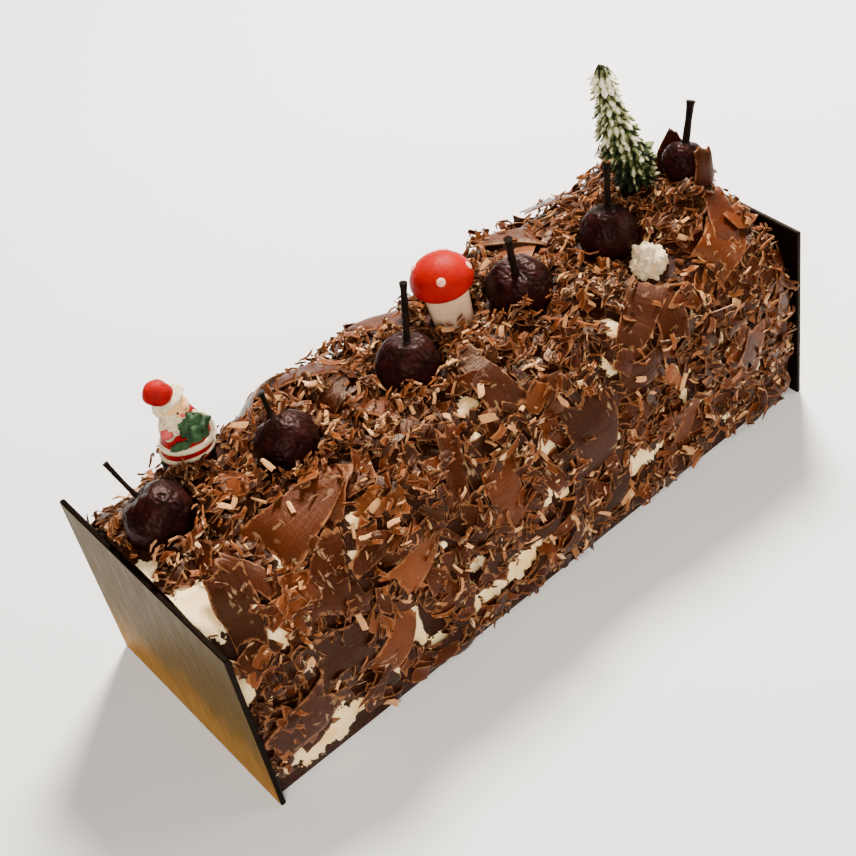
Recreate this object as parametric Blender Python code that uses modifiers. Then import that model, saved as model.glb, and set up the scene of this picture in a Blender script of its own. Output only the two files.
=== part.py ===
"""Black forest log cake with chocolate flakes, cherries and winter ornaments.

Blender 4.5, in metres, +Z up. +X runs along the log, -Y is the cake's front, and the origin is on the
surface the cake stands on, under its middle.
"""

import math
import random
from dataclasses import dataclass

import bmesh
import bpy
import numpy as np
from mathutils import Matrix, Vector

MM = 0.001
GAP = 0.3 * MM  # between pieces that touch

# The log and its two end plates
LOG_LENGTH = 260 * MM  # over both plates
PLATE_WIDTH = 98.5 * MM
PLATE_HEIGHT = 80 * MM
PLATE_THICKNESS = 2 * MM
PLATE_EDGE = 0.4 * MM
BODY_END = LOG_LENGTH / 2 - PLATE_THICKNESS - GAP  # the cake's own end faces, at +X and -X

# Cross-section of the flake bed: upright sides under a squarish dome
BED_HALF_WIDTH = 46 * MM
SIDE_HEIGHT = 38 * MM
DOME_HEIGHT = 44 * MM
DOME_POWER = 3.0
SECTION_SIDES = 48  # a multiple of 8 puts points on the foot's corners
SPREAD_LIMIT = 52 * MM  # no flake reaches further to the front or the back
FOOT_LIMIT = 0.5 * MM  # nor lower than this

# The mound that lifts the last cherry
MOUND_CENTRE = (114.5 * MM, -3 * MM, 78 * MM)
MOUND_HALF_SIZE = (13 * MM, 17 * MM, 12 * MM)

# Flakes
FLAKE_THICKNESS = 1.1 * MM
FLAKE_SINK = 0.4 * MM  # pressed this far into what they lie on
FLAKE_CLEARANCE = 0.8 * MM  # to the toppings
MOST_TILT = math.radians(20)
SAMPLE_STEP = 1.5 * MM
LAYOUT_SEED = 24
MEDIUM_COUNT = 104
LARGE_COUNT = 30
SIDE_LIFT = 0.6  # share of a flake's lift that it keeps on the upright sides
SIDESTEPS = ((0, 0), (0, -13), (0, 13), (-12, -6), (12, 6))  # places tried for a flake, in mm
BARE_MARGIN = 4 * MM

# Places left bare by the flakes that are not laid by hand, in mm: centre along the log, centre round the
# section from the ridge (minus is the front), half length, half width
BARE_PLACES = (
    (-122, -26, 8, 9),
    (-127, -57, 3, 5.5),
    (-103, -103, 13, 4.6),
    (-61, -83, 1.8, 12),
    (47, -89, 9, 3.6),
    (54, -35, 2.4, 9),
    (-20, -95, 14, 4.2),
    (-100, 96, 10, 4),
    (-62, 84, 3, 7),
    (-34, 99, 8, 3),
    (8, 88, 5, 5),
    (52, 97, 11, 4),
    (84, 78, 3, 6),
    (112, 94, 6, 4),
    (-120, 60, 4, 5),
)

# Large flakes laid by hand, in mm and degrees: centre along the log, centre round the section from the
# ridge (minus is the front), length, width, turn, lift of the far end, bend radius, width at each end
HAND_LAID = (
    (-79, -21, 34, 25, 6, 4, 90, 1.0, 0.30),
    (-84, -42, 27, 17, 62, 2, 60, 0.9, 0.6),
    (-91, -70, 23, 21, 88, -4, 80, 1.0, 0.9),
    (-112, -84, 25, 19, 20, 3, 70, 0.8, 1.0),
    (-114, -33, 24, 15, 75, 5, 60, 0.7, 0.9),
    (-15, -56, 25, 15, 86, -3, 60, 0.8, 1.0),
    (-28, -38, 27, 9, 70, 12, 40, 0.7, 0.8),
    (24, -60, 35, 21, 84, 2, 24, 0.8, 1.0),
    (33, -86, 30, 12, 74, -3, 40, 1.0, 0.6),
    (100, -74, 24, 19, 70, 3, 60, 1.0, 0.8),
    (62, -34, 28, 14, 30, 4, 50, 0.6, 1.0),
    (-34, 30, 27, 18, 160, 14, 35, 0.9, 0.5),
    (-50, 42, 30, 22, 15, 8, 20, 0.8, 0.8),
    (-4, 33, 26, 18, 140, 16, 60, 1.0, 0.2),
    (60, 28, 28, 16, 150, 15, 60, 1.0, 0.3),
    (88, 34, 25, 18, 165, 12, 45, 0.9, 0.6),
    (114, -24, 24, 14, 60, 10, 50, 0.8, 0.7),
    (-118, 38, 20, 14, 100, 6, 50, 0.6, 0.9),
    (40, 56, 28, 20, 80, 4, 50, 0.8, 1.0),
    (-20, 70, 30, 18, 60, 3, 40, 1.0, 0.7),
)

# Flakes standing on edge beside the last cherry, in mm and degrees: x, y and z of the middle, direction that
# the outer side faces, length, width, bend radius, width at each end
STANDING = (
    (122.6, 6.0, 94.5, 47, 23, 17, 30, 1.0, 0.12),
    (119.6, -12.9, 96.0, -102, 18.4, 8, 22, 1.0, 0.8),
)


@dataclass
class Cherry:
    """A cherry with its stem. Lean is how far its top turns to +X and to -Y, in degrees. Stem bend is how
    nearly the stem's far end comes upright: 0 for a straight stem, 1 for an upright end."""

    x: float
    y: float
    z: float
    radius: float
    lean_right: float
    lean_front: float
    stem_length: float
    stem_radius: float
    stem_bend: float

    @property
    def centre(self):
        return Vector((self.x, self.y, self.z))


CHERRIES = (
    Cherry(-112 * MM, 10.5 * MM, 86 * MM, 11.8 * MM, -18, -34, 14 * MM, 0.9 * MM, 0.2),
    Cherry(-64 * MM, 4.2 * MM, 86.8 * MM, 11.3 * MM, 8, -45, 8 * MM, 1.0 * MM, 0.4),
    Cherry(-12.4 * MM, 2.6 * MM, 86 * MM, 11.6 * MM, 16, -8, 20.3 * MM, 1.3 * MM, 0.4),
    Cherry(39.6 * MM, 1.8 * MM, 86.4 * MM, 11.9 * MM, -13, 9, 16 * MM, 1.4 * MM, 0.4),
    Cherry(80 * MM, -2 * MM, 87.2 * MM, 11.2 * MM, 16, -11, 15.6 * MM, 1.3 * MM, 0.4),
    Cherry(118.7 * MM, -3.3 * MM, 97 * MM, 8.0 * MM, 24, -9, 14.6 * MM, 1.5 * MM, 0.0),
)
CHERRY_SEGMENTS = 14
CHERRY_RINGS = 9
STEM_POINTS = 6

# Ornaments: the foot of each one's axis, how far it is turned, and its main sizes
FIGURE_FOOT = Vector((-88.5 * MM, 29.8 * MM, 78 * MM))
FIGURE_TURN = math.radians(-20)
# Radius and height up the coat, then height and shift to the figure's left, in mm
COAT_PROFILE = (
    (0, 0), (8.4, 0), (9.0, 1.5), (9.1, 7), (9.3, 11), (9.0, 14), (7.8, 18), (6.6, 22), (5.2, 26), (2.5, 28.5),
    (0, 29),
)
COAT_SWAY = ((0, 0), (7, 0.4), (12, 2.2), (17, 1.9), (28, 0.8))
COAT_DEPTH = 0.8  # of its width
MUSHROOM_FOOT = Vector((17.7 * MM, 14.7 * MM, 80 * MM))
MUSHROOM_TURN = math.radians(-26)
MUSHROOM_LEAN = math.radians(-4)
MUSHROOM_STEM_HEIGHT = 15.8 * MM
MUSHROOM_STEM_HALF = 7.6 * MM
MUSHROOM_CAP_RADIUS = 11.5 * MM
MUSHROOM_CAP_HEIGHT = 9.4 * MM
MUSHROOM_RIM_DEPTH = 2.2 * MM
TREE_FOOT = Vector((103.8 * MM, 10.8 * MM, 78 * MM))
TREE_TURN = math.radians(-43)
TREE_LEAN = math.radians(-4)
# Rim height, radius, depth and sideways shift of each tier, in mm
TREE_TIERS = (
    (13, 8.8, 10, 4.0),
    (20, 9.0, 12, 3.6),
    (27, 8.9, 12, 0.4),
    (34, 8.8, 13, -0.2),
    (42, 6.8, 12, -1.3),
    (49.5, 5.6, 14.5, -1.7),
)
TREE_TRUNK_RADIUS = 2.6 * MM
TREE_POINTS = 9
DAB_PLACE = (82 * MM, -19.8 * MM)  # along the log, round the section
DAB_HALF_SIZE = (6.6 * MM, 7.0 * MM, 7.6 * MM)


# ------------------------------------------------------------------ the section and the unrolled bed


def bed_section(steps=400):
    """Arc length, y, z and the outward normal, from the ridge down one side of the bed."""
    turn = np.linspace(0, math.pi / 2, steps)
    y = np.append(BED_HALF_WIDTH * np.sin(turn) ** (2 / DOME_POWER), BED_HALF_WIDTH)
    z = np.append(SIDE_HEIGHT + DOME_HEIGHT * np.cos(turn) ** (2 / DOME_POWER), 0)
    side = np.linspace(SIDE_HEIGHT, 0, 60)[1:]
    y = np.append(y[:-1], np.full(len(side), BED_HALF_WIDTH))
    z = np.append(z[:-1], side)
    arc = np.append(0, np.cumsum(np.hypot(np.diff(y), np.diff(z))))
    along_y, along_z = np.gradient(y, arc), np.gradient(z, arc)
    size = np.hypot(along_y, along_z)
    return arc, y, z, -along_z / size, along_y / size


ARC, SECTION_Y, SECTION_Z, NORMAL_Y, NORMAL_Z = bed_section()
HALF_GIRTH = float(ARC[-1])


def bed_frame(u, v):
    """The point of the bed at u along the log and v round the section, with its two tangents and normal."""
    side = -1 if v < 0 else 1
    y, z, ny, nz = (float(np.interp(abs(v), ARC, line)) for line in (SECTION_Y, SECTION_Z, NORMAL_Y, NORMAL_Z))
    normal = Vector((0, side * ny, nz)).normalized()
    along = Vector((1, 0, 0))
    return Vector((u, side * y, z)), along, normal.cross(along), normal


def unroll(points):
    """Where points lie round the section, and how high they stand off the bed."""
    y, z = np.abs(points[:, 1]), points[:, 2]
    nearest = np.argmin((y[:, None] - SECTION_Y) ** 2 + (z[:, None] - SECTION_Z) ** 2, axis=1)
    height = (y - SECTION_Y[nearest]) * NORMAL_Y[nearest] + (z - SECTION_Z[nearest]) * NORMAL_Z[nearest]
    return np.sign(points[:, 1]) * ARC[nearest], height


def mound_points(around, from_top):
    """Points of the mound's upper half, at these angles."""
    ball = (np.sin(from_top) * np.cos(around), np.sin(from_top) * np.sin(around), np.cos(from_top))
    return np.stack([middle + half * part for middle, half, part in zip(MOUND_CENTRE, MOUND_HALF_SIZE, ball)], -1)


# ------------------------------------------------------------------ where the flakes lie


@dataclass
class Flake:
    """A thin curved flake. Its surface is a function of s along it and t across it, both from -1 to 1."""

    u: float
    v: float
    length: float
    width: float
    turn: float
    lift: float
    bend_radius: float
    start_width: float
    end_width: float
    slant: float = 0.0
    frame: Matrix = None

    def surface(self, s, t):
        """Points of the underside, in the flake's own axes."""
        half_width = self.width / 2 * (self.start_width + (self.end_width - self.start_width) * (s + 1) / 2)
        half_width = half_width * (1 + 0.12 * (1 - s * s))
        along = self.length / 2 * s * (1 + 0.10 * t * t) + self.slant * half_width * t
        angle = along / self.bend_radius
        rise = self.bend_radius * (np.cos(angle) - 1)
        return np.stack([self.bend_radius * np.sin(angle), half_width * t, rise], axis=-1)

    def samples(self):
        """The surface at points about SAMPLE_STEP apart, as rows."""
        s = np.linspace(-1, 1, max(4, int(self.length / SAMPLE_STEP)))
        t = np.linspace(-1, 1, max(4, int(self.width / SAMPLE_STEP)))
        return self.surface(*np.meshgrid(s, t, indexing="ij")).reshape(-1, 3)


class FlakeBed:
    """The height of the heap over the unrolled bed. Each flake comes to rest on it, then raises it."""

    def __init__(self, keep_out):
        self.keep_out = keep_out
        self.columns = int(2 * BODY_END / SAMPLE_STEP) + 1
        self.rows = int(2 * HALF_GIRTH / SAMPLE_STEP) + 1
        self.heights = np.zeros((self.columns, self.rows))
        angles = np.meshgrid(np.linspace(0, 2 * math.pi, 120), np.linspace(0, math.pi / 2, 40))
        self.raise_to(mound_points(*angles).reshape(-1, 3))

    def raise_to(self, points):
        """Raise the heap to these points."""
        v, height = unroll(points)
        np.maximum.at(self.heights, self.cells(points, v), height)

    def cells(self, points, v):
        """The cell of the height map under each point."""
        column = ((points[:, 0] + BODY_END) / SAMPLE_STEP).astype(int).clip(0, self.columns - 1)
        row = ((v + HALF_GIRTH) / SAMPLE_STEP).astype(int).clip(0, self.rows - 1)
        return column, row

    def blocked(self, points):
        """Whether a flake at these points would touch a topping."""
        for x, y, low, high, radius in self.keep_out:
            rise = np.maximum(np.maximum(low - points[:, 2], points[:, 2] - high), 0)
            distance = np.sqrt((points[:, 0] - x) ** 2 + (points[:, 1] - y) ** 2 + rise**2)
            if distance.min() < radius + FLAKE_CLEARANCE:
                return True
        return False

    def lay(self, flake):
        """Bring the flake to rest on the heap, at the first place with room for it. False if there is none."""
        return any(self.settle(flake, flake.u + u * MM, flake.v + v * MM) for u, v in SIDESTEPS)

    def settle(self, flake, u, v):
        """Bring the flake to rest at one place. False if it would touch a topping or reach out too far."""
        local = flake.samples()
        centre, along, across, normal = bed_frame(u, v)
        length_axis = along * math.cos(flake.turn) + across * math.sin(flake.turn)
        width_axis = normal.cross(length_axis)

        def standing(tilt_along, tilt_across):
            """The samples and axes with the flake tilted by these slopes."""
            first = (length_axis + tilt_along * normal).normalized()
            third = first.cross(width_axis + tilt_across * normal).normalized()
            axes = Matrix((first, third.cross(first), third)).transposed()
            points = local @ np.array(axes.transposed()) + np.array(centre)
            return points, axes

        points, _ = standing(0, 0)
        v, height = unroll(points)
        rest = self.heights[self.cells(points, v)] - height
        fit = np.linalg.lstsq(np.column_stack([np.ones(len(local)), local[:, :2]]), rest, rcond=None)[0]
        steepest = math.tan(MOST_TILT)
        slope_along, slope_across = (float(slope) for slope in np.clip(fit[1:], -steepest, steepest))
        lift = flake.lift * (SIDE_LIFT if abs(normal.z) < 0.4 else 1)
        points, axes = standing(slope_along + math.tan(lift), slope_across)
        overhang = np.clip(points[:, 0], -BODY_END + GAP, BODY_END - GAP) - points[:, 0]
        rise = max(0.0, FOOT_LIMIT - float(points[:, 2].min()))
        shift = Vector((float(overhang.max() + overhang.min()), 0, rise))
        points = points + np.array(shift)
        v, height = unroll(points)
        clearance = self.heights[self.cells(points, v)] - height
        drop = normal * (float(np.percentile(clearance, 88)) - FLAKE_SINK)
        points = points + np.array(drop)
        top = points + np.array(axes.col[2]) * FLAKE_THICKNESS
        if self.blocked(points) or self.blocked(top):
            return False
        if np.abs(top[:, 1]).max() > SPREAD_LIMIT + 1.5 * MM or points[:, 2].min() < FOOT_LIMIT / 2:
            return False
        flake.frame = Matrix.Translation(centre + shift + drop) @ axes.to_4x4()
        self.raise_to(top)
        return True


def spread(count, start):
    """Evenly spread places over the unrolled bed, by the two-dimensional golden ratio."""
    ratio = 1.32471795724
    for index in range(start, start + count):
        u = (2 * ((0.5 + index / ratio) % 1) - 1) * BODY_END
        v = (2 * ((0.5 + index / ratio**2) % 1) - 1) * HALF_GIRTH
        yield u * 0.97, v * 0.95


def drawn_flake(rng, u, v, shortest, longest, most_lift):
    """A flake of random size and form, with its length and lift within the limits given."""
    length = rng.uniform(shortest, longest)
    return Flake(
        u=u,
        v=v,
        length=length,
        width=length * rng.uniform(0.42, 0.78),
        turn=rng.uniform(0, math.pi),
        lift=math.radians(rng.uniform(-most_lift, most_lift)),
        bend_radius=rng.choice((18, 30, 50, 90)) * MM,
        start_width=rng.uniform(0.45, 1.0),
        end_width=rng.uniform(0.35, 1.0),
        slant=rng.uniform(-0.5, 0.5),
    )


def left_bare(flake):
    """Whether a flake would lie over a bare place."""
    for u, v, half_u, half_v in BARE_PLACES:
        across = (flake.u - u * MM) / (half_u * MM + BARE_MARGIN)
        around = (flake.v - v * MM) / (half_v * MM + BARE_MARGIN)
        if across**2 + around**2 < 1:
            return True
    return False


def standing_flakes():
    """The flakes that stand on edge."""
    flakes = []
    for x, y, z, facing, length, width, bend, start, end in STANDING:
        flake = Flake(0, 0, length * MM, width * MM, 0, 0, bend * MM, start, end)
        outward = Vector((math.cos(math.radians(facing)), math.sin(math.radians(facing)), 0))
        up = Vector((0, 0, 1))
        axes = Matrix((up, outward.cross(up), outward)).transposed().to_4x4()
        flake.frame = Matrix.Translation(Vector((x, y, z)) * MM) @ axes
        flakes.append(flake)
    return flakes


def laid_flakes(keep_out):
    """Every flake that shows from a step away, at rest on the bed."""
    rng = random.Random(LAYOUT_SEED)
    bed = FlakeBed(keep_out)
    medium = [drawn_flake(rng, u, v, 11 * MM, 18 * MM, 27) for u, v in spread(MEDIUM_COUNT, 0)]
    large = [drawn_flake(rng, u, v, 19 * MM, 27 * MM, 15) for u, v in spread(LARGE_COUNT, 500)]
    by_hand = [
        Flake(u * MM, v * MM, length * MM, width * MM, math.radians(turn), math.radians(lift), bend * MM, start, end)
        for u, v, length, width, turn, lift, bend, start, end in HAND_LAID
    ]
    strewn = [flake for flake in medium + large if not left_bare(flake)]
    return [flake for flake in strewn + by_hand if bed.lay(flake)] + standing_flakes()


# ------------------------------------------------------------------ making and joining meshes


def material(name, colour, roughness):
    """A Principled material."""
    made = bpy.data.materials.new(name)
    made.use_nodes = True
    shader = made.node_tree.nodes["Principled BSDF"]
    shader.inputs["Base Color"].default_value = (*colour, 1)
    shader.inputs["Roughness"].default_value = roughness
    return made


def add_object(name, bm, place, finish=None):
    """An object made from a bmesh, with its faces pointing out."""
    bmesh.ops.recalc_face_normals(bm, faces=bm.faces)
    mesh = bpy.data.meshes.new(name)
    bm.to_mesh(mesh)
    bm.free()
    made = bpy.data.objects.new(name, mesh)
    if finish:
        mesh.materials.append(finish)
    place.objects.link(made)
    return made


def smooth(obj, degrees=40):
    """Shade a round piece smooth, with its sharp edges kept."""
    obj.data.shade_smooth()
    obj.data.set_sharp_from_angle(angle=math.radians(degrees))


def evaluated_mesh(obj):
    """The object's mesh with its modifiers applied."""
    bpy.context.view_layer.update()
    depsgraph = bpy.context.evaluated_depsgraph_get()
    return bpy.data.meshes.new_from_object(obj.evaluated_get(depsgraph), depsgraph=depsgraph)


def join_or_cut(obj, operation, others):
    """One Boolean on a collection, applied, with the collection's objects then removed."""
    boolean = obj.modifiers.new("boolean", "BOOLEAN")
    boolean.operation = operation
    boolean.operand_type = "COLLECTION"
    boolean.collection = others
    boolean.solver = "EXACT"
    joined = evaluated_mesh(obj)
    obj.modifiers.clear()
    obj.data = joined
    for other in list(others.objects):
        bpy.data.objects.remove(other)


def keep_main_body(obj):
    """Drop loose scraps and fill sealed hollows, so that one closed body is left."""
    bm = bmesh.new()
    bm.from_mesh(obj.data)
    bmesh.ops.remove_doubles(bm, verts=bm.verts, dist=2e-6)
    bmesh.ops.dissolve_degenerate(bm, edges=bm.edges, dist=2e-6)
    seen, bodies = set(), []
    for start in bm.verts:
        if start in seen:
            continue
        body, reached = [], [start]
        seen.add(start)
        while reached:
            vert = reached.pop()
            body.append(vert)
            for edge in vert.link_edges:
                other = edge.other_vert(vert)
                if other not in seen:
                    seen.add(other)
                    reached.append(other)
        bodies.append(body)
    bodies.sort(key=len)
    bmesh.ops.delete(bm, geom=[vert for body in bodies[:-1] for vert in body], context="VERTS")
    bmesh.ops.triangulate(bm, faces=bm.faces)
    bm.to_mesh(obj.data)
    bm.free()


def ellipsoid(centre, half_size):
    """A bmesh ball, stretched to the given half sizes."""
    bm = bmesh.new()
    bmesh.ops.create_uvsphere(bm, u_segments=10, v_segments=7, radius=1)
    placed = Matrix.Translation(centre) @ Matrix.Diagonal((*half_size, 1))
    bmesh.ops.transform(bm, matrix=placed, verts=bm.verts)
    return bm


def turned(profile, segments):
    """A closed turned bmesh, from (radius, height) rows that run from one pole to the other."""
    bm = bmesh.new()
    verts = [bm.verts.new((radius, 0, height)) for radius, height in profile]
    edges = [bm.edges.new(pair) for pair in zip(verts, verts[1:])]
    bmesh.ops.spin(
        bm, geom=verts + edges, cent=(0, 0, 0), axis=(0, 0, 1), angle=2 * math.pi, steps=segments, use_merge=True
    )
    bmesh.ops.remove_doubles(bm, verts=bm.verts, dist=1e-6)
    return bm


# ------------------------------------------------------------------ the log


def log_core(place, finish):
    """The plain body of the cake, out to the mean level of the flake bed."""
    bm = bmesh.new()
    bmesh.ops.create_circle(bm, cap_ends=True, segments=SECTION_SIDES, radius=1)
    for vert in bm.verts:
        around = math.atan2(vert.co.x, vert.co.y)
        if abs(around) <= math.pi / 2:
            sine, cosine = abs(math.sin(around)), abs(math.cos(around))
            y = BED_HALF_WIDTH * sine ** (2 / DOME_POWER)
            z = SIDE_HEIGHT + DOME_HEIGHT * cosine ** (2 / DOME_POWER)
        else:
            below = (abs(around) - math.pi / 2) / (math.pi / 2)
            y = BED_HALF_WIDTH * min(1, 2 * (1 - below))
            z = SIDE_HEIGHT * max(0, 1 - 2 * below)
        vert.co = Vector((-BODY_END, math.copysign(y, around), z))
    grown = bmesh.ops.extrude_face_region(bm, geom=bm.faces[:])
    verts = [item for item in grown["geom"] if isinstance(item, bmesh.types.BMVert)]
    bmesh.ops.translate(bm, verts=verts, vec=(2 * BODY_END, 0, 0))
    return add_object("cake_log", bm, place, finish)


def flake_solid(flake, index, place):
    """One flake as a thin closed solid."""
    bm = bmesh.new()
    large = flake.length > 18.5 * MM
    bmesh.ops.create_grid(bm, x_segments=3 if large else 2, y_segments=2 if large else 1, size=1)
    rng = random.Random(LAYOUT_SEED * 1000 + index)
    for vert in bm.verts:
        s, t = vert.co.x, vert.co.y
        point = flake.surface(np.float64(s), np.float64(t))
        ragged = 0.07 * flake.width
        vert.co = Vector(point) + Vector((rng.uniform(-ragged, ragged), rng.uniform(-ragged, ragged), 0))
    grown = bmesh.ops.extrude_face_region(bm, geom=bm.faces[:])
    verts = [item for item in grown["geom"] if isinstance(item, bmesh.types.BMVert)]
    bmesh.ops.translate(bm, verts=verts, vec=(0, 0, FLAKE_THICKNESS))
    bmesh.ops.transform(bm, matrix=flake.frame, verts=bm.verts)
    for vert in bm.verts:
        vert.co.x = min(max(vert.co.x, -BODY_END + GAP), BODY_END - GAP)
        vert.co.y = min(max(vert.co.y, -SPREAD_LIMIT), SPREAD_LIMIT)
        vert.co.z = max(vert.co.z, FOOT_LIMIT)
    add_object(f"flake_{index}", bm, place)


def cake_log(place, cutters, finish):
    """The log with its flakes fused on and a socket under each topping."""
    log = log_core(place, finish)
    add_object("mound", ellipsoid(Vector(MOUND_CENTRE), MOUND_HALF_SIZE), cutters)
    join_or_cut(log, "UNION", cutters)
    for cherry in CHERRIES:
        add_object("socket", cherry_form(cherry, GAP * 1.4), cutters)
    stem_half = MUSHROOM_STEM_HALF + GAP * 1.4
    add_object("socket", mushroom_stem_form(stem_half, -GAP * 1.4), cutters)
    add_object("socket", figure_foot_form(GAP * 1.4), cutters)
    add_object("socket", tree_trunk_form(TREE_TRUNK_RADIUS + GAP * 1.4, -GAP * 1.4), cutters)
    add_object("socket", dab_form(GAP * 1.4), cutters)
    join_or_cut(log, "DIFFERENCE", cutters)
    for index, flake in enumerate(laid_flakes(toppings_to_keep_clear())):
        flake_solid(flake, index, cutters)
    join_or_cut(log, "UNION", cutters)
    keep_main_body(log)
    return log


def toppings_to_keep_clear():
    """Upright capsules round the toppings: x, y, lowest and highest centre, radius."""
    capsules = [(cherry.x, cherry.y, cherry.z, cherry.z, cherry.radius * 1.04) for cherry in CHERRIES]
    last = CHERRIES[-1]
    capsules.append((last.x, last.y, last.z, last.z + 12 * MM, 4 * MM))
    mushroom, figure, tree = MUSHROOM_FOOT, FIGURE_FOOT, TREE_FOOT
    cap_level = mushroom.z + MUSHROOM_STEM_HEIGHT + 2 * MM
    capsules.append((mushroom.x, mushroom.y, mushroom.z, cap_level, MUSHROOM_STEM_HALF * 1.25))
    capsules.append((mushroom.x, mushroom.y, cap_level, cap_level, MUSHROOM_CAP_RADIUS * 1.04))
    middle = figure_axes() @ Vector((1.2 * MM, 0, 0))
    capsules.append((middle.x, middle.y, figure.z, figure.z + 30 * MM, 11 * MM))
    fronds = tree_axes() @ Vector((4 * MM, 0, 0))
    capsules.append((fronds.x, fronds.y, tree.z + 18 * MM, tree.z + 26 * MM, 10 * MM))
    capsules.append((tree.x, tree.y, tree.z + 20 * MM, tree.z + 50 * MM, 10 * MM))
    dab, _, _, _ = bed_frame(*DAB_PLACE)
    capsules.append((*dab, dab.z, max(DAB_HALF_SIZE)))
    return capsules


def end_plate(name, side, place, finish):
    """A thin upright plate against one end of the log."""
    bm = bmesh.new()
    bmesh.ops.create_cube(bm, size=1)
    sizes = Matrix.Diagonal((PLATE_THICKNESS, PLATE_WIDTH, PLATE_HEIGHT, 1))
    middle = Matrix.Translation((side * (LOG_LENGTH - PLATE_THICKNESS) / 2, 0, PLATE_HEIGHT / 2))
    bmesh.ops.transform(bm, matrix=middle @ sizes, verts=bm.verts)
    plate = add_object(name, bm, place, finish)
    bevel = plate.modifiers.new("worn_edge", "BEVEL")
    bevel.width = PLATE_EDGE
    bevel.segments = 1
    return plate


# ------------------------------------------------------------------ cherries and cream


def cherry_axes(cherry):
    """The turn that takes +Z to the cherry's own stem direction."""
    return (
        Matrix.Rotation(math.radians(cherry.lean_right), 4, "Y")
        @ Matrix.Rotation(math.radians(cherry.lean_front), 4, "X")
    )


def cherry_form(cherry, grow=0.0):
    """A lumpy cherry with a stem dimple, grown outwards by a distance."""
    bm = bmesh.new()
    bmesh.ops.create_uvsphere(bm, u_segments=CHERRY_SEGMENTS, v_segments=CHERRY_RINGS, radius=1)
    phase = cherry.x / (17 * MM)
    for vert in bm.verts:
        around = math.atan2(vert.co.y, vert.co.x)
        upright = vert.co.z
        dimple = 0.20 * max(0, (upright - 0.80) / 0.20) ** 1.5
        lobes = 0.025 * math.cos(2 * around + phase) + 0.02 * math.sin(5 * around + 4 * upright + phase)
        level = 1 + lobes * math.sqrt(max(0, 1 - upright**2)) - dimple
        vert.co *= cherry.radius * level + grow
    placed = Matrix.Translation(cherry.centre) @ cherry_axes(cherry)
    bmesh.ops.transform(bm, matrix=placed, verts=bm.verts)
    return bm


def cherry_stem(index, cherry, place, finish):
    """A stem that leaves the dimple along the cherry's axis and bends upright."""
    base = cherry.centre + cherry_axes(cherry) @ Vector((0, 0, 0.82 * cherry.radius + GAP))
    heading = (cherry_axes(cherry) @ Vector((0, 0, 1))).normalized()
    upright = Vector((0.08, 0, 1)).normalized()
    points, step = [base], (cherry.stem_length + 0.1 * cherry.radius) / (STEM_POINTS - 1)
    for number in range(1, STEM_POINTS):
        share = min(1, number / 3)
        points.append(points[-1] + heading.lerp(upright, share * cherry.stem_bend).normalized() * step)
    return tube(f"cherry_stem_{index}", points, cherry.stem_radius, place, finish)


def tube(name, points, radius, place, finish):
    """A round tube through the points, made a mesh with its caps welded."""
    curve = bpy.data.curves.new(name, "CURVE")
    curve.dimensions = "3D"
    curve.bevel_depth = radius
    curve.bevel_resolution = 2
    curve.use_fill_caps = True
    spline = curve.splines.new("POLY")
    spline.points.add(len(points) - 1)
    for number, point in enumerate(points):
        spline.points[number].co = (*point, 1)
        spline.points[number].radius = 1.12 if number == len(points) - 1 else 1.0
    wire = bpy.data.objects.new(name, curve)
    place.objects.link(wire)
    mesh = evaluated_mesh(wire)
    bpy.data.objects.remove(wire)
    bm = bmesh.new()
    bm.from_mesh(mesh)
    bmesh.ops.remove_doubles(bm, verts=bm.verts, dist=1e-6)
    return add_object(name, bm, place, finish)


def dab_form(grow=0.0):
    """A small lumpy dab of cream on the shoulder of the log."""
    centre, along, across, normal = bed_frame(*DAB_PLACE)
    bm = bmesh.new()
    bmesh.ops.create_uvsphere(bm, u_segments=12, v_segments=7, radius=1)
    for vert in bm.verts:
        around = math.atan2(vert.co.y, vert.co.x)
        level = 1 + 0.10 * math.sin(3 * around + 1) * (1 - abs(vert.co.z)) + 0.05 * math.sin(5 * vert.co.z + around)
        vert.co = Vector([part * half * level for part, half in zip(vert.co, DAB_HALF_SIZE)])
        vert.co += vert.co.normalized() * grow
    axes = Matrix((along, across, normal)).transposed().to_4x4()
    bmesh.ops.transform(bm, matrix=Matrix.Translation(centre) @ axes, verts=bm.verts)
    return bm


# ------------------------------------------------------------------ the mushroom


def mushroom_axes():
    turn = Matrix.Rotation(MUSHROOM_TURN, 4, "Z")
    return Matrix.Translation(MUSHROOM_FOOT) @ turn @ Matrix.Rotation(MUSHROOM_LEAN, 4, "Y")


def mushroom_stem_form(half, bottom=0.0):
    """A squat stem of rounded-square section, a little wider at the top."""
    bm = bmesh.new()
    bmesh.ops.create_cone(bm, cap_ends=True, segments=20, radius1=half * 0.94, radius2=half * 1.06, depth=1)
    for vert in bm.verts:
        around = math.atan2(vert.co.y, vert.co.x)
        squareness = (abs(math.cos(around)) ** 4 + abs(math.sin(around)) ** 4) ** -0.25
        vert.co.xy *= squareness
        vert.co.z = MUSHROOM_STEM_HEIGHT if vert.co.z > 0 else bottom
    bmesh.ops.transform(bm, matrix=mushroom_axes(), verts=bm.verts)
    return bm


def mushroom_cap_form():
    """A domed cap with a rolled rim and a shallow hollow underneath."""
    radius, height, rim = MUSHROOM_CAP_RADIUS, MUSHROOM_CAP_HEIGHT, MUSHROOM_RIM_DEPTH
    dome = [
        (radius * math.sin(angle), height * math.cos(angle))
        for angle in (math.radians(step * 18) for step in range(6))
    ]
    under = [(radius * 0.93, -rim * 0.8), (radius * 0.80, -rim), (radius * 0.55, -rim * 0.7), (0, -rim * 0.6)]
    bm = turned(dome + under, 18)
    level = MUSHROOM_STEM_HEIGHT + rim + GAP
    bmesh.ops.transform(bm, matrix=mushroom_axes() @ Matrix.Translation((0, 0, level)), verts=bm.verts)
    return bm


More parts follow.
